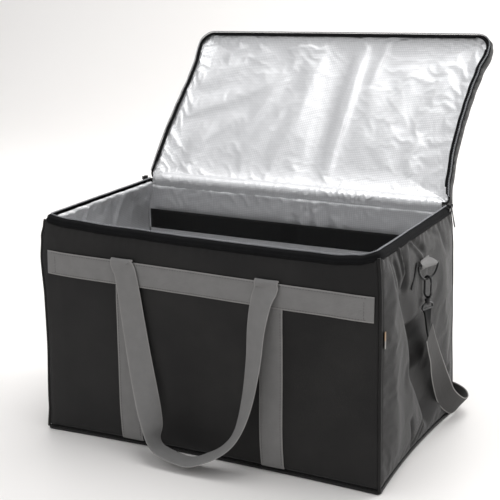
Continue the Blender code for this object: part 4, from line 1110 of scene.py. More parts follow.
ring = lid_ring(0.0)
away = ring - ring.mean(0)
away = away / np.linalg.norm(away, axis=1, keepdims=True)
run = np.arange(len(ring)) * RIM_STEP
pucker = np.sin(run / 0.0125 * math.pi * 2 / 1.4 + 4 * rumple(run, 0 * run, 0.05, 2.9))
ring_rows = []
for level in np.linspace(0, 1, 12):
    depth = -LID_DEPTH + LID_WALL * 0.35 + level * (LID_DEPTH - LID_WALL * 0.35 - TAPE_HEIGHT * 0.35)
    bulge = 0.0016 * math.sin(level * math.pi)
    swell = bulge + 0.0006 * pucker * math.sin(level * math.pi) - 0.0010 * math.exp(-level / 0.08)
    spot = ring + away * swell[:, None]
    ring_rows.append(lid_point(spot[:, 0], spot[:, 1], depth))
lid_band = lay_cloth("lid_side_band", ring_rows, polyester, GUSSET_THICKNESS * 0.7, closed=True)
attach(lid_band, "bag")
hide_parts("lid_gusset")

x, s, share_x, share_s = lid_spread(GUSSET_THICKNESS + 0.0006, 230, 150)
edge = 1 - np.maximum(np.abs(share_x), np.abs(share_s))
from_edge = np.minimum((1 - np.abs(share_x)) * RIM_WIDTH / 2, (1 - np.abs(share_s)) * LID_LENGTH / 2)
depth = -FOIL_EDGE - FOIL_DISH * (1 - (1 - np.clip(edge / 0.45, 0, 1)) ** 3)
inner = np.clip(from_edge / 0.030, 0, 1)
inner = inner * inner * (3 - 2 * inner)
lift = np.zeros(x.shape)
for x0, s0, x1, s1, near, wide, high in LID_FOLDS:
    line = np.array((x1 - x0, s1 - s0))
    length = np.hypot(*line)
    line = line / length
    along = (x - x0) * line[0] + (s - s0) * line[1]
    bent = 0.012 * rumple(along, 0 * along, 0.12, x0 * 40)
    off = (x - x0) * -line[1] + (s - s0) * line[0] + bent
    spread = np.where(off > 0, near, wide)
    ends = np.clip(np.minimum(along, length - along) / (0.45 * length) + 0.35, 0, 1)
    lift += high * np.exp(-((off / spread) ** 2)) * ends * ends * (3 - 2 * ends)
lift += 0.0012 * rumple(x, s * 0.5, 0.06, 21.0)
lift = lift * (0.25 + 0.75 * inner)
tight = np.exp(-from_edge / 0.010) * (1 - np.exp(-from_edge / 0.0015))
lift += 0.0016 * tight * creases(x + s * 0.2, s - x * 0.2, 0.010, 22.0) + 0.0003 * creases(x, s, 0.02, 23.0)
lid_lining = lay_cloth("lid_lining", lid_point(x, s, depth + lift), foil)
held = np.clip(1 - from_edge / 0.004, 0, 1).ravel()
settle_cloth(lid_lining, held, slack=0.004, frames=10, stiffness=12.0, cap=0.0007)
thicken(lid_lining, FOIL * 0.6)
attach(lid_lining, "bag")
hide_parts("lid_foil")


# The zip runs along the left, far and right edges of the lid, so the ring is opened where it crosses the
# hinge
ring = lid_ring(GUSSET_THICKNESS / 2)
spots = ring[ring[:, 1] > LID_NEAR_ROUND * 1.05]
jump = int(np.argmax(np.linalg.norm(np.roll(spots, -1, 0) - spots, axis=1)))
spots = np.roll(spots, -(jump + 1), 0)
run = np.arange(len(spots)) * RIM_STEP
waver = rumple(run, 0 * run, 0.035, 7.7)
straight = np.array((RIM_WIDTH / 2 - 0.03, LID_LENGTH / 2 - 0.03))
away = spots - (0.0, LID_LENGTH / 2)
away = np.where(np.abs(away) > straight, np.sign(away), 0.0)
away = away / np.maximum(np.linalg.norm(away, axis=1, keepdims=True), 1.0)
tape_rows = []
# Rows are: depth, distance in from the tape's line
for depth, inward in (
    (-0.0088, -0.0012),
    (-0.0070, -0.0016),
    (-0.0050, -0.0010),
    (-0.0026, -0.0004),
    (-0.0010, 0.0006),
    (0.0000, 0.0022),
    (0.0002, 0.0046),
    (-0.0006, 0.0072),
):
    spot = spots - away * (inward + 0.0004 * waver)[:, None]
    tape_rows.append(lid_point(spot[:, 0], spot[:, 1], depth + 0.0005 * waver))
lid_tape = lay_cloth("lid_tape", tape_rows, zip_tape)
thicken(lid_tape, TAPE_THICKNESS, 0)
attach(lid_tape, "bag")
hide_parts("lid_zip_tape")
coil_line = lid_point(spots[:, 0], spots[:, 1], COIL_RADIUS + 0.0004 + 0.0005 * waver)
lid_coil = wound_coil("lid_coil", coil_line, COIL_RADIUS, COIL_WIRE, COIL_PITCH, coil_yarn)
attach(lid_coil, "bag")
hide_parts("lid_zip_coil")


# Hinge
# The back panel's cloth runs on into the lid. Inside, the two foils are sewn together over it, and the spare
# foil forms a loose bright roll that pleats and crinkles where it folds.

HINGE_HALF = RIM_WIDTH / 2 - LID_NEAR_ROUND * 2
FOIL_FILM = 0.0008
x = np.linspace(-HINGE_HALF, HINGE_HALF, 150)
near_y = RIM_DEPTH / 2 - WALL / 2
far = lid_point(x, LID_INSET + GUSSET_THICKNESS / 2, -TAPE_HEIGHT * 0.7 + 0.001)
ridge = 0.0004 * rumple(x, 0 * x, 0.02, 31.0)
top = HEIGHT - BACK_EDGE + 0.001
rows = []
for share in np.linspace(0, 1, 9):
    y = near_y + (far[:, 1] - near_y) * share
    z = top + (far[:, 2] - top) * share + (0.0016 + ridge) * math.sin(share * math.pi)
    rows.append(np.stack([x, y, z], axis=-1))
hinge = lay_cloth("hinge_fabric", rows, polyester, 0.0012)
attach(hinge, "bag")
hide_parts("hinge_cloth")

# Rows are: share of the way round, distance towards the front of the lining's line, height above the hinge,
# and the share of the pleats there
ROLL_PROFILE = (
    (0.00, 0.0020, -0.0150, 0.0),
    (0.12, 0.0042, -0.0100, 0.5),
    (0.26, 0.0052, -0.0040, 1.0),
    (0.40, 0.0034, 0.0026, 1.0),
    (0.54, -0.0020, 0.0068, 1.0),
    (0.68, -0.0090, 0.0084, 0.8),
    (0.80, -0.0150, 0.0076, 0.6),
    (0.90, -0.0200, 0.0066, 0.4),
    (1.00, -0.0245, 0.0068, 0.2),
)
x = np.linspace(-HINGE_HALF - 0.006, HINGE_HALF + 0.006, 380)
lining_y = near_y - WALL / 2 - LINING_EASE - FOIL / 2
gathered = np.exp(-(((x - 0.105) / 0.060) ** 2)) + 0.8 * np.clip((x - 0.235) / 0.03, 0, 1)
gathered += 0.35 + 0.5 * np.exp(-(((x + 0.27) / 0.03) ** 2))
ends = np.clip((HINGE_HALF + 0.006 - np.abs(x)) / 0.014, 0, 1)
rows = []
for share, fore, high, pleated in smooth_route(ROLL_PROFILE, 5):
    y = lining_y - fore * (0.4 + 0.6 * ends)
    z = HEIGHT + np.where(high > 0, high * (0.55 + 0.45 * ends), high)
    pleat = 0.0012 * gathered * pleated * (1 + rumple(x, 0 * x + share * 0.020, 0.012, 33.0))
    crack = 0.0022 * gathered * pleated * creases(x, 0 * x + share * 0.03, 0.013, 34.0)
    long_pull = 0.0006 * pleated * rumple(x * 0.3, 0 * x + share * 0.030, 0.012, 35.0)
    rows.append(np.stack([x, y - pleat * 0.6 - crack * 0.8, z + pleat * 0.3 + long_pull], axis=-1))
roll = lay_cloth("hinge_roll", rows, foil)
thicken(roll, FOIL_FILM, 0)
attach(roll, "bag")
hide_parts("hinge_foil")


# Grey webbing
# Heavy woven webbing, 40 mm wide. One length crosses each face under the rim, and the handles' ends are
# sewn down to the base below it, all with rows of lockstitch near the edges.

WEBBING = 0.040
WEBBING_THICKNESS = 0.0016
BAND_DROP = 0.062
BAND_FALL = 0.004
BAND_END = 0.006
STRIP_SPACING = 0.258
STRIP_SHIFT = -0.007
WEBBING_GREY = "#7f7e7d"
WEBBING_EDGE_HIGHLIGHT = "#918f8d"
STITCH_LENGTH = 0.0036
STITCH_GAP = 0.0011
THREAD_RADIUS = 0.00042
THREAD_SHADE = "#3d3c3b"
THREAD_GLINT = "#5b5a58"

# Mid grey polypropylene webbing: dull and ribbed, with its turned edges painted paler as a highlight
grey_webbing = webbing_finish("grey polypropylene webbing", WEBBING_GREY, WEBBING_EDGE_HIGHLIGHT, WEBBING, 0.72)

# Bonded nylon sewing thread: a small grey glint on each stitch
thread, tree, shader = start_finish("bonded nylon thread", {"Roughness": 0.42, "IOR": 1.53})
place = add_node(tree, "ShaderNodeTexCoord")
tone = add_node(tree, "ShaderNodeTexNoise", {"Scale": 120.0, "Detail": 1.0}, {"Vector": (place, "Object")})
colour = add_node(
    tree,
    "ShaderNodeMix",
    {"data_type": "RGBA", "A": linear(THREAD_SHADE), "B": linear(THREAD_GLINT)},
    {"Factor": (tone, "Fac")},
)
tree.links.new(colour.outputs["Result"], shader.inputs["Base Color"])

STRAP_PROFILE = (-1.0, -0.97, -0.90, -0.55, 0.0, 0.55, 0.90, 0.97, 1.0)
ACROSS_SHARES = (-0.5, -0.25, 0, 0.25, 0.5)


def flat_strap(name, middle, across, width, thickness, finish, narrow=None, cup=0.0):
    """A flat woven strap along a route, with its width's direction at each point and rounded, firm edges."""
    middle, across = np.asarray(middle, float), np.asarray(across, float)
    along = np.gradient(middle, axis=0)
    along /= np.linalg.norm(along, axis=1, keepdims=True)
    across = across - along * (across * along).sum(1, keepdims=True)
    across /= np.linalg.norm(across, axis=1, keepdims=True)
    face = np.cross(across, along)
    half = np.full(len(middle), width / 2) if narrow is None else width / 2 * np.asarray(narrow, float)
    steps = [(s, 1) for s in STRAP_PROFILE] + [(s, -1) for s in STRAP_PROFILE[::-1]]
    rows, u = [], []
    for share, up in steps:
        rise = thickness / 2 * up * math.sqrt(max(1 - abs(share) ** 14, 0.04))
        rows.append(middle + across * (half * share)[:, None] + face * (rise + cup * (1 - share * share)))
        u.append(share * width / 2)
    points = np.stack(rows, axis=1)
    count, sides = points.shape[:2]
    v = np.concatenate(([0], np.cumsum(np.linalg.norm(np.diff(middle, axis=0), axis=1))))
    faces, corners = [], []
    for r in range(count - 1):
        for c in range(sides):
            n = (c + 1) % sides
            faces.append((r * sides + c, (r + 1) * sides + c, (r + 1) * sides + n, r * sides + n))
            corners += [u[c], v[r], u[c], v[r + 1], u[n], v[r + 1], u[n], v[r]]
    faces += [tuple(range(sides)), tuple(range((count - 1) * sides, count * sides))[::-1]]
    corners += [0.0, 0.0] * sides * 2
    return make_piece(name, points.reshape(-1, 3).tolist(), faces, corners, finish, 50)


def stitch_rows(name, lines):
    """Rows of lockstitch: each stitch a short plump thread that dips into the cloth at both ends."""
    points, faces = [], []
    for line, out in lines:
        line = np.column_stack([line, np.broadcast_to(out, np.shape(line))])
        line = evenly(line, (STITCH_LENGTH + STITCH_GAP) / 4)
        for start in range(0, len(line) - 4, 4):
            ends = line[start], line[start + 3]
            spots = [ends[0][:3] + (ends[1][:3] - ends[0][:3]) * t for t in (0.0, 0.2, 0.5, 0.8, 1.0)]
            normal = ends[0][3:] / np.linalg.norm(ends[0][3:])
            along = (ends[1][:3] - ends[0][:3]) / np.linalg.norm(ends[1][:3] - ends[0][:3])
            side = np.cross(normal, along)
            first = len(points)
            for spot, size, lift in zip(spots, (0.45, 0.9, 1.0, 0.9, 0.45), (-0.7, 0.2, 0.45, 0.2, -0.7)):
                for turn in range(5):
                    a = turn * math.pi * 2 / 5
                    rise = normal * (math.sin(a) * THREAD_RADIUS * size * 0.8 + lift * THREAD_RADIUS)
                    points.append(spot + side * math.cos(a) * THREAD_RADIUS * size + rise)
            for ring in range(4):
                for turn in range(5):
                    n = (turn + 1) % 5
                    a, b = first + ring * 5, first + (ring + 1) * 5
                    faces.append((a + turn, a + n, b + n, b + turn))
    return make_piece(name, [tuple(p) for p in points], faces, None, thread)


def band_middle_z(x):
    """The cross band follows the rim and falls a little towards the right."""
    share = x / RIM_WIDTH + 0.5
    return HEIGHT - BAND_DROP - WEBBING / 2 + BAND_FALL - BAND_FALL * 2 * share


for face, side in (("front", -1), ("back", 1)):
    half = RIM_WIDTH / 2 - BAND_END
    x = np.linspace(-half, half, 150)
    middle_z = band_middle_z(x) + 0.0006 * rumple(x, 0 * x, 0.09, 41.0 + side)
    off = 0.0004 + WEBBING_THICKNESS / 2
    proud = np.max([side * long_cloth(side, x, middle_z + e * WEBBING) for e in ACROSS_SHARES], axis=0)
    middle = np.column_stack([x, side * (proud + off), middle_z])
    lean = long_cloth(side, x, middle_z + 0.5 * WEBBING) - long_cloth(side, x, middle_z - 0.5 * WEBBING)
    across = np.column_stack([0 * x, lean * 0.7, 0 * x + WEBBING])
    cross_band = flat_strap(f"{face}_webbing_band", middle, across, WEBBING, WEBBING_THICKNESS, grey_webbing)
    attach(cross_band, "bag")
    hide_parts(f"{face}_band")
    lines = []
    out = np.array((0.0, side, 0.0))
    surface = np.array((0, side * WEBBING_THICKNESS / 2, 0))
    for edge in (-0.42, 0.42):
        lines.append(((middle + across * edge + surface)[2:-2], out))
    for end in (4, -5):
        upright = [middle[end] + across[end] * e + surface for e in np.linspace(-0.4, 0.4, 9)]
        lines.append((np.array(upright), out))
    for end, turn in (("left", -1), ("right", 1)):
        at = STRIP_SHIFT + turn * STRIP_SPACING / 2
        top = band_middle_z(at) - WEBBING / 2 - 0.0006
        z = np.linspace(top, PANEL_FOOT + 0.0004, 90)
        wander = 0.0008 * rumple(z, 0 * z, 0.12, 43.0 + turn + side)
        proud = np.max([side * long_cloth(side, at + e * WEBBING + wander, z) for e in ACROSS_SHARES], axis=0)
        middle_line = np.column_stack([at + wander, side * (proud + off), z])
        strip = flat_strap(
            f"{face}_{end}_webbing_strip",
            middle_line,
            np.tile((1.0, 0, 0), (len(z), 1)),
            WEBBING,
            WEBBING_THICKNESS,
            grey_webbing,
        )
        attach(strip, "bag")
        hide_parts(f"{face}_strip_{end}")
        for edge in (-0.41, 0.41):
            lines.append((middle_line[2:-1] + (edge * WEBBING, 0, 0) + surface, out))
    stitching = stitch_rows(f"{face}_webbing_stitches", lines)
    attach(stitching, "bag")


# Handles
# The same webbing, folded over the band's upper edge at both ends and sewn down. Each loop hangs under its
# own weight, and its right leg turns over as it rises, so the loop lies at a slant.

HANDLE_DROP = 0.305
HANDLE_FALL = 0.006
HANDLE_STAND = {-1: 0.045, 1: 0.030}
HANDLE_STEP = 0.0035

# Rows are: place across, drop, distance out (shares of the spacing, the drop and the stand), turn in degrees
HANDLE_ROUTE = (
    (-0.470, 0.060, 0.170, 3),
    (-0.420, 0.280, 0.260, 9),
    (-0.363, 0.505, 0.420, 18),
    (-0.300, 0.700, 0.620, 32),
    (-0.250, 0.840, 0.800, 60),
    (-0.225, 0.925, 0.930, 92),
    (-0.150, 0.968, 1.010, 104),
    (0.030, 0.990, 1.080, 106),
    (0.160, 0.950, 1.040, 109),
    (0.270, 0.890, 0.980, 114),
    (0.350, 0.800, 0.890, 124),
    (0.405, 0.660, 0.750, 137),
    (0.438, 0.450, 0.550, 148),
    (0.450, 0.248, 0.380, 158),
    (0.474, 0.100, 0.230, 169),
    (0.502, 0.035, 0.155, 177),
)

# Rows are: distance out from the band (shares of one layer), height above the band's edge in metres
FOLD_OVER = (
    (0.0, 0.0012),
    (0.28, 0.0032),
    (1.0, 0.0044),
    (1.72, 0.0032),
    (2.05, 0.0),
    (2.2, -0.006),
)

for face, side in (("front", -1), ("back", 1)):
    fold = WEBBING_THICKNESS + 0.0006
    middle_x = STRIP_SHIFT - HANDLE_FALL
    loop = []
    for over, drop, out, turned in HANDLE_ROUTE:
        a = math.radians(turned)
        y = side * (RIM_DEPTH / 2 + DEPTH_FLARE * 0.3 + out * HANDLE_STAND[side])
        z = band_middle_z(middle_x) + WEBBING / 2 - drop * HANDLE_DROP
        loop.append((middle_x + over * STRIP_SPACING, y, z, math.cos(a), -side * math.sin(a), 0))
    ends = []
    for turn in (-1, 1):
        x = middle_x + turn * STRIP_SPACING / 2
        z = band_middle_z(x) + WEBBING / 2
        at = np.array([x + e * WEBBING for e in (-0.5, 0, 0.5)])
        proud = side * (np.max(side * long_cloth(side, at, 0 * at + z)) + 0.0006 + WEBBING_THICKNESS / 2)
        rows = [(x, proud + side * fold * out, z + lift, -turn, 0, 0) for out, lift in FOLD_OVER]
        ends.append(rows if turn < 0 else rows[::-1])
    route = evenly(smooth_route(ends[0] + loop + ends[1], 8), HANDLE_STEP)
    run = np.arange(len(route)) * HANDLE_STEP
    inside = np.clip(np.minimum(run, run[-1] - run) / 0.05, 0, 1)
    route[:, 0] += 0.0006 * inside * rumple(run, 0 * run, 0.05, 47.0)
    middle, across = route[:, :3], route[:, 3:]
    name = f"{face}_carry_handle"
    handle = flat_strap(name, middle, across, WEBBING, WEBBING_THICKNESS, grey_webbing, cup=0.0006)
    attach(handle, "bag")
    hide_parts(f"{face}_handle")


# Rings and tabs
# A doubled end of grey webbing is sewn high on each side panel and holds the straight bar of a D-ring. The
# ring is bent from steel wire, welded and enamelled black.

TAB_PLACE_Y = 0.004
TAB_PLACE_Z = 0.318
TAB_TURN = math.radians(20)
TAB_STAND = 0.0118
TAB_WIDTH = 0.038
TAB_LIFT = 0.0022
RING_WIRE = 0.0018
RING_INSIDE = 0.044
RING_DROP = 0.022
ENAMEL_BLACK = "#161617"
ENAMEL_WORN = "#4a4a4b"

# Black enamel baked on steel wire: smooth and fairly glossy, worn to a dull grey here and there
enamel, tree, shader = start_finish("black baked enamel", {"Roughness": 0.32, "Specular IOR Level": 0.5})
place = add_node(tree, "ShaderNodeTexCoord")
scuffs = add_node(tree, "ShaderNodeTexNoise", {"Scale": 140.0, "Detail": 4.0}, {"Vector": (place, "Object")})
worn = add_node(
    tree,
    "ShaderNodeMapRange",
    {"From Min": 0.55, "From Max": 0.75, "To Min": 0.0, "To Max": 0.6},
    {"Value": (scuffs, "Fac")},
)
colour = add_node(
    tree,
    "ShaderNodeMix",
    {"data_type": "RGBA", "A": linear(ENAMEL_BLACK), "B": linear(ENAMEL_WORN)},
    {"Factor": (worn, 0)},
)
tree.links.new(colour.outputs["Result"], shader.inputs["Base Color"])
rough = add_node(
    tree,
    "ShaderNodeMapRange",
    {"From Min": 0.3, "From Max": 0.7, "To Min": 0.26, "To Max": 0.46},
    {"Value": (scuffs, "Fac")},
)
tree.links.new(rough.outputs["Result"], shader.inputs["Roughness"])


def tab_frame(side):
    """The middle of the ring's bar, and the directions along the bar and out from the bag."""
    out = np.array((side * math.cos(TAB_TURN), -math.sin(TAB_TURN), 0))
    along = np.array((side * math.sin(TAB_TURN), math.cos(TAB_TURN), 0))
    x = float(edge_x(side, TAB_PLACE_Z / HEIGHT)) + side * TAB_STAND
    return np.array((x, TAB_PLACE_Y, TAB_PLACE_Z)), along, out


for end, side in (("left", -1), ("right", 1)):
    middle, along, out = tab_frame(side)
    bend = RING_WIRE + 0.0005 + WEBBING_THICKNESS / 2
    high, low_z = TAB_PLACE_Z + bend * 2.2, TAB_PLACE_Z - bend * 1.6
    at = TAB_PLACE_Y + np.array(ACROSS_SHARES) * WEBBING
    panel_x = {}
    for z in (high, high + bend, low_z):
        proud = np.max(side * side_cloth(side, at, 0 * at + z))
        panel_x[z] = side * (proud + WEBBING_THICKNESS / 2 + TAB_LIFT)
    rows = [(panel_x[high + bend], TAB_PLACE_Y, high + bend, 0, 1, 0)]
    rows.append((panel_x[high] + side * 0.0005, TAB_PLACE_Y, high, 0, 1, 0))
    for turn in (90, 60, 30, 0, -30, -60, -90):
        a = math.radians(turn)
        spot = middle + out * bend * math.cos(a) + np.array((0, 0, bend * math.sin(a)))
        rows.append((*spot, *along))
    rows.append((panel_x[low_z] + side * 0.0005, TAB_PLACE_Y, low_z - bend * 0.3, 0, 1, 0))
    route = evenly(rows, 0.0008)
    for pass_number in range(4):
        route[1:-1] = (route[:-2] + route[1:-1] * 2 + route[2:]) / 4
    middle_line, across = route[:, :3], route[:, 3:]
    tab = flat_strap(f"{end}_ring_tab", middle_line, across, TAB_WIDTH, WEBBING_THICKNESS, grey_webbing)
    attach(tab, "bag")
    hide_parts(f"side_tab_{end}")

    reach, drop = RING_INSIDE / 2 + RING_WIRE, RING_DROP + RING_WIRE
    route = []
    for turn in np.linspace(0, 180, 49):
        a = math.radians(turn)
        route.append(middle + along * reach * math.cos(a) - np.array((0, 0, drop * math.sin(a))))
    route += [middle + along * reach * share for share in np.linspace(-0.94, 0.94, 20)]
    ring_piece = round_piece(f"{end}_ring", route, RING_WIRE, enamel, 14, closed=True)
    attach(ring_piece, "bag")
    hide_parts(f"d_ring_{end}")


# Snap hooks
# Hooks moulded in glass-filled nylon, with a sprung gate that closes the mouth. Each hook turns on a barrel
# with a flat eye, which carries the strap.

HOOK_WIRE = 0.0021
HOOK_LENGTH = 0.034
HOOK_WIDTH = 0.0125
GATE_WIRE = 0.0015
SWIVEL_RADIUS = 0.0048
SWIVEL_LENGTH = 0.009
STRAP_END_WIDTH = 0.020
NYLON_BLACK = "#121213"
NYLON_SHEEN = "#242425"

# Glass-filled nylon, moulded in a textured tool: black, half matt, with a fine speckle
nylon, tree, shader = start_finish("moulded black nylon", {"Roughness": 0.44, "IOR": 1.53})
place = add_node(tree, "ShaderNodeTexCoord")
speckle = add_node(tree, "ShaderNodeTexNoise", {"Scale": 900.0, "Detail": 2.0}, {"Vector": (place, "Object")})
patches = add_node(tree, "ShaderNodeTexNoise", {"Scale": 80.0, "Detail": 3.0}, {"Vector": (place, "Object")})
colour = add_node(
    tree,
    "ShaderNodeMix",
    {"data_type": "RGBA", "A": linear(NYLON_BLACK), "B": linear(NYLON_SHEEN)},
    {"Factor": (patches, "Fac")},
)
tree.links.new(colour.outputs["Result"], shader.inputs["Base Color"])
bump = add_node(tree, "ShaderNodeBump", {"Strength": 0.15, "Distance": 0.0002}, {"Height": (speckle, "Fac")})
tree.links.new(bump.outputs["Normal"], shader.inputs["Normal"])


def turned(name, profile, place, finish, sides=28):
    """A round moulding from radii and heights, upright at a place."""
    rows = []
    angles = np.arange(sides) * math.pi * 2 / sides
    for radius, height in profile:
        x, y = place[0] + radius * np.cos(angles), place[1] + radius * np.sin(angles)
        rows.append(np.column_stack([x, y, np.full(sides, place[2] + height)]))
    piece = lay_cloth(name, rows, finish, closed=True)
    close_ends(piece, 40)
    return piece


def joined(name, pieces):
    """Several meshes as one piece."""
    work = bmesh.new()
    for piece in pieces:
        work.from_mesh(piece.data)
    mesh = bpy.data.meshes.new(name)
    work.to_mesh(mesh)
    work.free()
    mesh.materials.append(pieces[0].data.materials[0])
    for piece in pieces:
        bpy.data.objects.remove(piece, do_unlink=True)
    out = bpy.data.objects.new(name, mesh)
    bpy.context.scene.collection.objects.link(out)
    return out


eye_feet = {}
for end, side in (("left", -1), ("right", 1)):
    middle, along, out = tab_frame(side)
    half = HOOK_WIDTH / 2
    top = TAB_PLACE_Z - RING_DROP + 0.0003 + HOOK_WIRE
    nose, knuckle, foot = half + 0.0035, HOOK_LENGTH - half - GATE_WIRE, HOOK_LENGTH
    upper, lower = np.radians(np.linspace(0, 180, 19)), np.radians(np.linspace(180, 360, 19)[:-1])
    route = [(half, nose)]
    route += [(half * math.cos(a), half - half * math.sin(a)) for a in upper]
    route += [(-half, d) for d in np.linspace(half, foot - half, 8)[1:-1]]
    route += [(half * math.cos(a), foot - half - half * math.sin(a)) for a in lower]
    route.append((half, knuckle))
    level_middle = np.array((middle[0], middle[1], 0.0))
    spots = np.array([level_middle + out * sideways + (0, 0, top - down) for sideways, down in route])
    thick = np.full(len(spots), HOOK_WIRE)
    thick[:3] = HOOK_WIRE * np.array((0.75, 0.9, 1.0))
    hook = round_piece(f"{end}_hook", spots, thick, nylon, 14)
    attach(hook, "bag")
    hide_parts(f"hook_body_{end}")
    downs = np.linspace(knuckle - 0.0009, nose + 0.0009, 12)
    line = np.array([level_middle + out * half + (0, 0, top - down) for down in downs])
    swell = GATE_WIRE * (0.86 + 0.14 * np.sin(np.linspace(0, math.pi, 12)))
    gate = round_piece(f"{end}_gate", line, swell, nylon, 14)
    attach(gate, f"gate_{end}")
    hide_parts(f"hook_gate_{end}")

    barrel_top = top - foot - HOOK_WIRE - 0.0003
    eye_top = barrel_top - SWIVEL_LENGTH + RING_WIRE
    eye_half = STRAP_END_WIDTH / 2 + RING_WIRE + 0.0009
    eye_low = eye_top - RING_WIRE * 5
    right_side = [(0.35, eye_top), (0.86, eye_top - 0.0022), (1.0, eye_low + 0.003), (0.88, eye_low)]
    left_side = [(-share, z) for share, z in right_side[::-1]]
    corners = left_side[-1:] + [(0.0, eye_top + 0.0004)] + right_side + [(0.0, eye_low)] + left_side
    line = smooth_route([(share, z, 0) for share, z in corners], 5)[:-1, :2]
    route = [(*(middle + along * eye_half * share)[:2], z) for share, z in line]
    eye = round_piece(f"{end}_eye", route, RING_WIRE, nylon, closed=True)
    barrel = turned(
        f"{end}_barrel",
        (
            (SWIVEL_RADIUS * 0.5, -SWIVEL_LENGTH),
            (SWIVEL_RADIUS * 0.82, -SWIVEL_LENGTH),
            (SWIVEL_RADIUS * 0.92, -SWIVEL_LENGTH * 0.90),
            (SWIVEL_RADIUS * 0.92, -SWIVEL_LENGTH * 0.62),
            (SWIVEL_RADIUS * 0.74, -SWIVEL_LENGTH * 0.56),
            (SWIVEL_RADIUS * 0.74, -SWIVEL_LENGTH * 0.46),
            (SWIVEL_RADIUS, -SWIVEL_LENGTH * 0.40),
            (SWIVEL_RADIUS, -SWIVEL_LENGTH * 0.12),
            (SWIVEL_RADIUS * 0.86, 0.0),
            (SWIVEL_RADIUS * 0.3, 0.0),
        ),
        (middle[0], middle[1], barrel_top),
        nylon,
    )
    swivel = joined(f"{end}_swivel", [eye, barrel])
    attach(swivel, "bag")
    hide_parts(f"hook_swivel_{end}")
    eye_feet[side] = eye_low - RING_WIRE


# Shoulder strap
# Grey webbing that hangs from both hooks and lies behind the bag. Its ends are doubled black webbing,
# gathered through the swivel's eye, and a thin black tail hangs beside the right ring.

STRAP_WIDTH = 0.038
STRAP_THICKNESS = 0.0018
STRAP_END_LENGTH = 0.050
TAIL_LENGTH = 0.046
TAIL_WIDTH = 0.007

# The right half, in metres. Rows are: place, direction of the width
STRAP_ROUTE = (
    (0.3150, 0.006, 0.206, -0.05, 0.98, 0.15),
    (0.3140, 0.022, 0.182, 0.00, 0.93, 0.25),
    (0.3130, 0.040, 0.158, 0.05, 0.85, 0.40),
    (0.3120, 0.062, 0.124, 0.25, 0.65, 0.64),
    (0.3120, 0.086, 0.090, 0.40, 0.50, 0.74),
    (0.3140, 0.112, 0.055, 0.50, 0.38, 0.76),
    (0.3190, 0.150, 0.027, 0.56, 0.28, 0.76),
    (0.3200, 0.178, 0.019, 0.58, 0.20, 0.76),
    (0.3110, 0.203, 0.020, 0.42, 0.06, 0.88),
    (0.2880, 0.222, 0.022, 0.10, -0.04, 1.00),
    (0.2450, 0.238, 0.022, 0.00, -0.04, 1.00),
    (0.1500, 0.242, 0.021, 0.00, 0.05, 1.00),
    (0.0000, 0.238, 0.021, 0.00, 0.08, 1.00),
)

# The same weave, with its grey painted darker as shade and both edges painted paler as a highlight
STRAP_SHADED_GREY = "#3f3e3d"
STRAP_EDGE_HIGHLIGHT = "#8d8b89"
shaded_strap_webbing = webbing_finish("grey polypropylene webbing with painted shade", STRAP_SHADED_GREY, STRAP_EDGE_HIGHLIGHT, STRAP_WIDTH, 0.75)
left_half = [(-x, y, z, -a, b, c) for x, y, z, a, b, c in STRAP_ROUTE[:-1]]
route = evenly(smooth_route([*STRAP_ROUTE, *left_half[::-1]], 10), 0.0045)
middle, across = route[:, :3], route[:, 3:]
strap = flat_strap(
    "shoulder_webbing",
    middle,
    across,
    STRAP_WIDTH,
    STRAP_THICKNESS,
    shaded_strap_webbing,
    cup=0.0004,
)
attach(strap, "bag")
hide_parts("shoulder_strap")

for end, side in (("left", -1), ("right", 1)):
    middle, along, out = tab_frame(side)
    flip = np.array((side, 1, 1))
    first, second = [row[:3] * flip for row in smooth_route(STRAP_ROUTE, 3)[:2]]
    down = (second - first) / np.linalg.norm(second - first)
    turn = np.array(STRAP_ROUTE[0][3:]) * flip
    start = np.array((middle[0], middle[1], eye_feet[side] - 0.0004))
    rows = [(*start, *along), (start[0], start[1], start[2] - STRAP_THICKNESS * 2, *along)]
    for before in (0.6, 0.3, 0.0):
        spot = first - down * (STRAP_END_LENGTH * before * 0.5 + 0.0006)
        pull = max(before - 0.3, 0.0)
        width = turn * (1 - pull * 2) + along * pull * 2
        rows.append((*(spot * (1 - pull) + start * pull), *width))
    route = smooth_route(rows, 8)
    at = np.linspace(0, 1, len(route))
    gathered = 1.0 - 0.30 * np.exp(-(((at - 0.45) / 0.22) ** 2))
    strap_end = flat_strap(
        f"{end}_strap_end",
        route[:, :3],
        route[:, 3:],
        STRAP_END_WIDTH,
        STRAP_THICKNESS * 2,
        black_webbing,
        gathered,
        cup=0.0012,
    )
    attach(strap_end, "bag")
    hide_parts(f"strap_end_{end}")

middle, along, out = tab_frame(1)
start = middle - along * (RING_INSIDE / 2 + RING_WIRE * 2 + TAIL_WIDTH * 0.35)
rows = []
for share in np.linspace(0, 1, 24):
    y = start[1] - share * TAIL_LENGTH * 0.60
    z = TAB_PLACE_Z + TAIL_WIDTH - share * TAIL_LENGTH * 0.74
    at = y + np.array((-0.5, 0, 0.5)) * TAIL_WIDTH * 0.8
    x = float(np.max(side_cloth(1, at, z - (at - y) * 0.75))) + 0.0016
    rows.append((x, y, z, 0, 0.8, -0.6))
rows = np.array(rows)
tail = flat_strap("strap_end_tail", rows[:, :3], rows[:, 3:], TAIL_WIDTH, WEBBING_THICKNESS, black_webbing)
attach(tail, "bag")
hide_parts("strap_tail")


# Zip sliders and pulls
# Die-cast sliders, enamelled black and parked at both ends of the zip. Each has two plates round the coils,
# a wedge between them, and two ears that carry a flat pull on its pin.

SLIDER_LENGTH = 0.013
SLIDER_THICKNESS = 0.0045
SLIDER_CLEAR = 0.0011
PULL_LENGTH = 0.036
PULL_WIDTH = 0.006
PULL_THICKNESS = 0.0014
PULL_PIN = 0.0013
PULL_LEAN = math.radians(11)


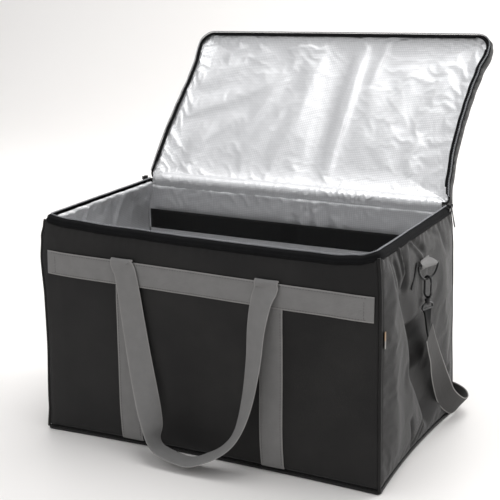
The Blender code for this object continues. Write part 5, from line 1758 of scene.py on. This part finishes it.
def soft_block(name, low_corner, high_corner, finish, round_off=0.0006):
    """A cast block with rounded edges."""
    low_corner, high_corner = np.asarray(low_corner, float), np.asarray(high_corner, float)
    mesh = bpy.data.meshes.new(name)
    work = bmesh.new()
    bmesh.ops.create_cube(work, size=1.0)
    for vertex in work.verts:
        vertex.co = Vector(low_corner + (np.array(vertex.co) + 0.5) * (high_corner - low_corner))
    bmesh.ops.bevel(work, geom=work.edges, offset=round_off, segments=3, affect="EDGES", profile=0.5)
    work.to_mesh(mesh)
    work.free()
    mesh.materials.append(finish)
    mesh.shade_smooth()
    mesh.set_sharp_from_angle(angle=math.radians(40))
    piece = bpy.data.objects.new(name, mesh)
    bpy.context.scene.collection.objects.link(piece)
    return piece


for end, side in (("left", -1), ("right", 1)):
    x = side * (RIM_WIDTH / 2 - WALL / 2 + SLIDER_CLEAR + SLIDER_THICKNESS / 2)
    foot = HEIGHT - TAPE_HEIGHT + 0.0012
    spot = np.array((x, RIM_DEPTH / 2 - SLIDER_WIDTH * 1.4, foot + SLIDER_LENGTH / 2))
    pin_out = SLIDER_THICKNESS / 2 + PULL_PIN + 0.0006
    axis = np.array((x + side * pin_out, spot[1], spot[2] + SLIDER_LENGTH * 0.2))
    ear_out = pin_out + PULL_PIN
    parts = []
    inner, outer = x - side * SLIDER_THICKNESS / 2, x + side * SLIDER_THICKNESS / 2
    for a, b in ((inner, inner + side * 0.0013), (outer - side * 0.0013, outer)):
        parts.append(
            soft_block(
                "plate",
                (min(a, b), spot[1] - SLIDER_WIDTH / 2, spot[2] - SLIDER_LENGTH / 2),
                (max(a, b), spot[1] + SLIDER_WIDTH / 2, spot[2] + SLIDER_LENGTH / 2),
                enamel,
                0.0005,
            )
        )
    parts.append(
        soft_block(
            "wedge",
            (min(inner, outer) + 0.0010, spot[1] - SLIDER_WIDTH * 0.28, spot[2] + SLIDER_LENGTH * 0.02),
            (max(inner, outer) - 0.0010, spot[1] + SLIDER_WIDTH * 0.28, spot[2] + SLIDER_LENGTH * 0.46),
            enamel,
            0.0004,
        )
    )
    for ear in (-1, 1):
        a, b = outer - side * 0.0004, x + side * ear_out
        edge_a, edge_b = spot[1] + ear * (PULL_WIDTH / 2 + 0.0005), spot[1] + ear * SLIDER_WIDTH / 2
        parts.append(
            soft_block(
                "ear",
                (min(a, b), min(edge_a, edge_b), axis[2] - PULL_PIN * 2),
                (max(a, b), max(edge_a, edge_b), spot[2] + SLIDER_LENGTH * 0.46),
                enamel,
                0.0005,
            )
        )
    slider = joined(f"{end}_slider", parts)
    slider.data.set_sharp_from_angle(angle=math.radians(40))
    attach(slider, "bag")
    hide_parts(f"zip_slider_{end}")

    lean = PULL_LEAN * side
    swing_x = np.array((math.cos(lean), 0, math.sin(lean)))
    swing_z = np.array((-math.sin(lean), 0, math.cos(lean)))
    rows = []
    # Rows are: distance below the pin, share of the width, thickness
    for below, share, thick in (
        (-0.0012, 0.30, 0.0010),
        (-0.0008, 0.62, 0.0018),
        (0.0, 0.96, 0.0025),
        (0.0014, 0.98, 0.0022),
        (0.0030, 0.78, PULL_THICKNESS),
        (0.0080, 0.62, PULL_THICKNESS * 0.9),
        (0.0200, 0.74, PULL_THICKNESS * 0.9),
        (0.0300, 0.96, PULL_THICKNESS),
        (0.0345, 0.92, PULL_THICKNESS),
        (0.0356, 0.66, PULL_THICKNESS * 0.9),
        (PULL_LENGTH, 0.30, PULL_THICKNESS * 0.5),
    ):
        ring = []
        for a in np.arange(20) * math.pi * 2 / 20:
            c, s = math.cos(a), math.sin(a)
            wide = math.copysign(abs(c) ** 0.5, c) * PULL_WIDTH / 2 * share
            deep = math.copysign(abs(s) ** 0.5, s) * thick / 2
            ring.append(axis - swing_z * below + swing_x * deep + np.array((0, wide, 0)))
        rows.append(ring)
    pull = lay_cloth(f"{end}_zip_pull", rows, enamel, closed=True)
    close_ends(pull, 50)
    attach(pull, f"pull_{end}")
    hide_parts(f"zip_pull_{end}")


# Seam label
# A folded tab of satin tape without any print, caught in the front right seam. It is tan where it is dyed
# and grey below that.

LABEL_HEIGHT = 0.026
LABEL_WIDTH = 0.006
LABEL_PLACE_Z = 0.245
LABEL_THREADS = 0.0008
LABEL_GREY = "#6f6c67"
LABEL_TAN = "#8c6a41"

# Woven satin tape: smooth with a soft shine and two tones. Its threads are 0.2 mm apart and are drawn at
# 0.8 mm, because finer ones are lost in the render.
satin, tree, shader = start_finish(
    "dyed satin tape", {"Roughness": 0.5, "Sheen Weight": 0.3, "Sheen Roughness": 0.4}
)
place = add_node(tree, "ShaderNodeTexCoord")
parted = add_node(tree, "ShaderNodeSeparateXYZ", None, {0: (place, "Object")})
dyed = add_node(
    tree,
    "ShaderNodeMapRange",
    {"From Min": LABEL_PLACE_Z - 0.001, "From Max": LABEL_PLACE_Z + 0.001, "To Min": 0.0, "To Max": 1.0},
    {"Value": (parted, "Z")},
)
colour = add_node(
    tree,
    "ShaderNodeMix",
    {"data_type": "RGBA", "A": linear(LABEL_GREY), "B": linear(LABEL_TAN)},
    {"Factor": (dyed, 0)},
)
tree.links.new(colour.outputs["Result"], shader.inputs["Base Color"])
threads = threads_wave(tree, place, "Y", LABEL_THREADS)
bump = add_node(tree, "ShaderNodeBump", {"Strength": 0.3, "Distance": 0.0002}, {"Height": (threads, 0)})
tree.links.new(bump.outputs["Normal"], shader.inputs["Normal"])

rows = []
for level in np.linspace(-0.5, 0.5, 16):
    z = LABEL_PLACE_Z + level * LABEL_HEIGHT
    y = float(edge_y(-1, z / HEIGHT)) + PIPING_RADIUS * 2 + LABEL_WIDTH / 2
    at = np.clip(y + np.array((-0.5, 0, 0.5)) * LABEL_WIDTH, -RIM_DEPTH / 2, 0)
    x = float(np.max(side_cloth(1, at, 0 * at + z))) + 0.0013
    rows.append((x, y, z, -0.12, 1, 0))
rows = np.array(rows)
label = flat_strap("blank_seam_tab", rows[:, :3], rows[:, 3:], LABEL_WIDTH, WEBBING_THICKNESS * 0.8, satin)
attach(label, "bag")
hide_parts("seam_label")
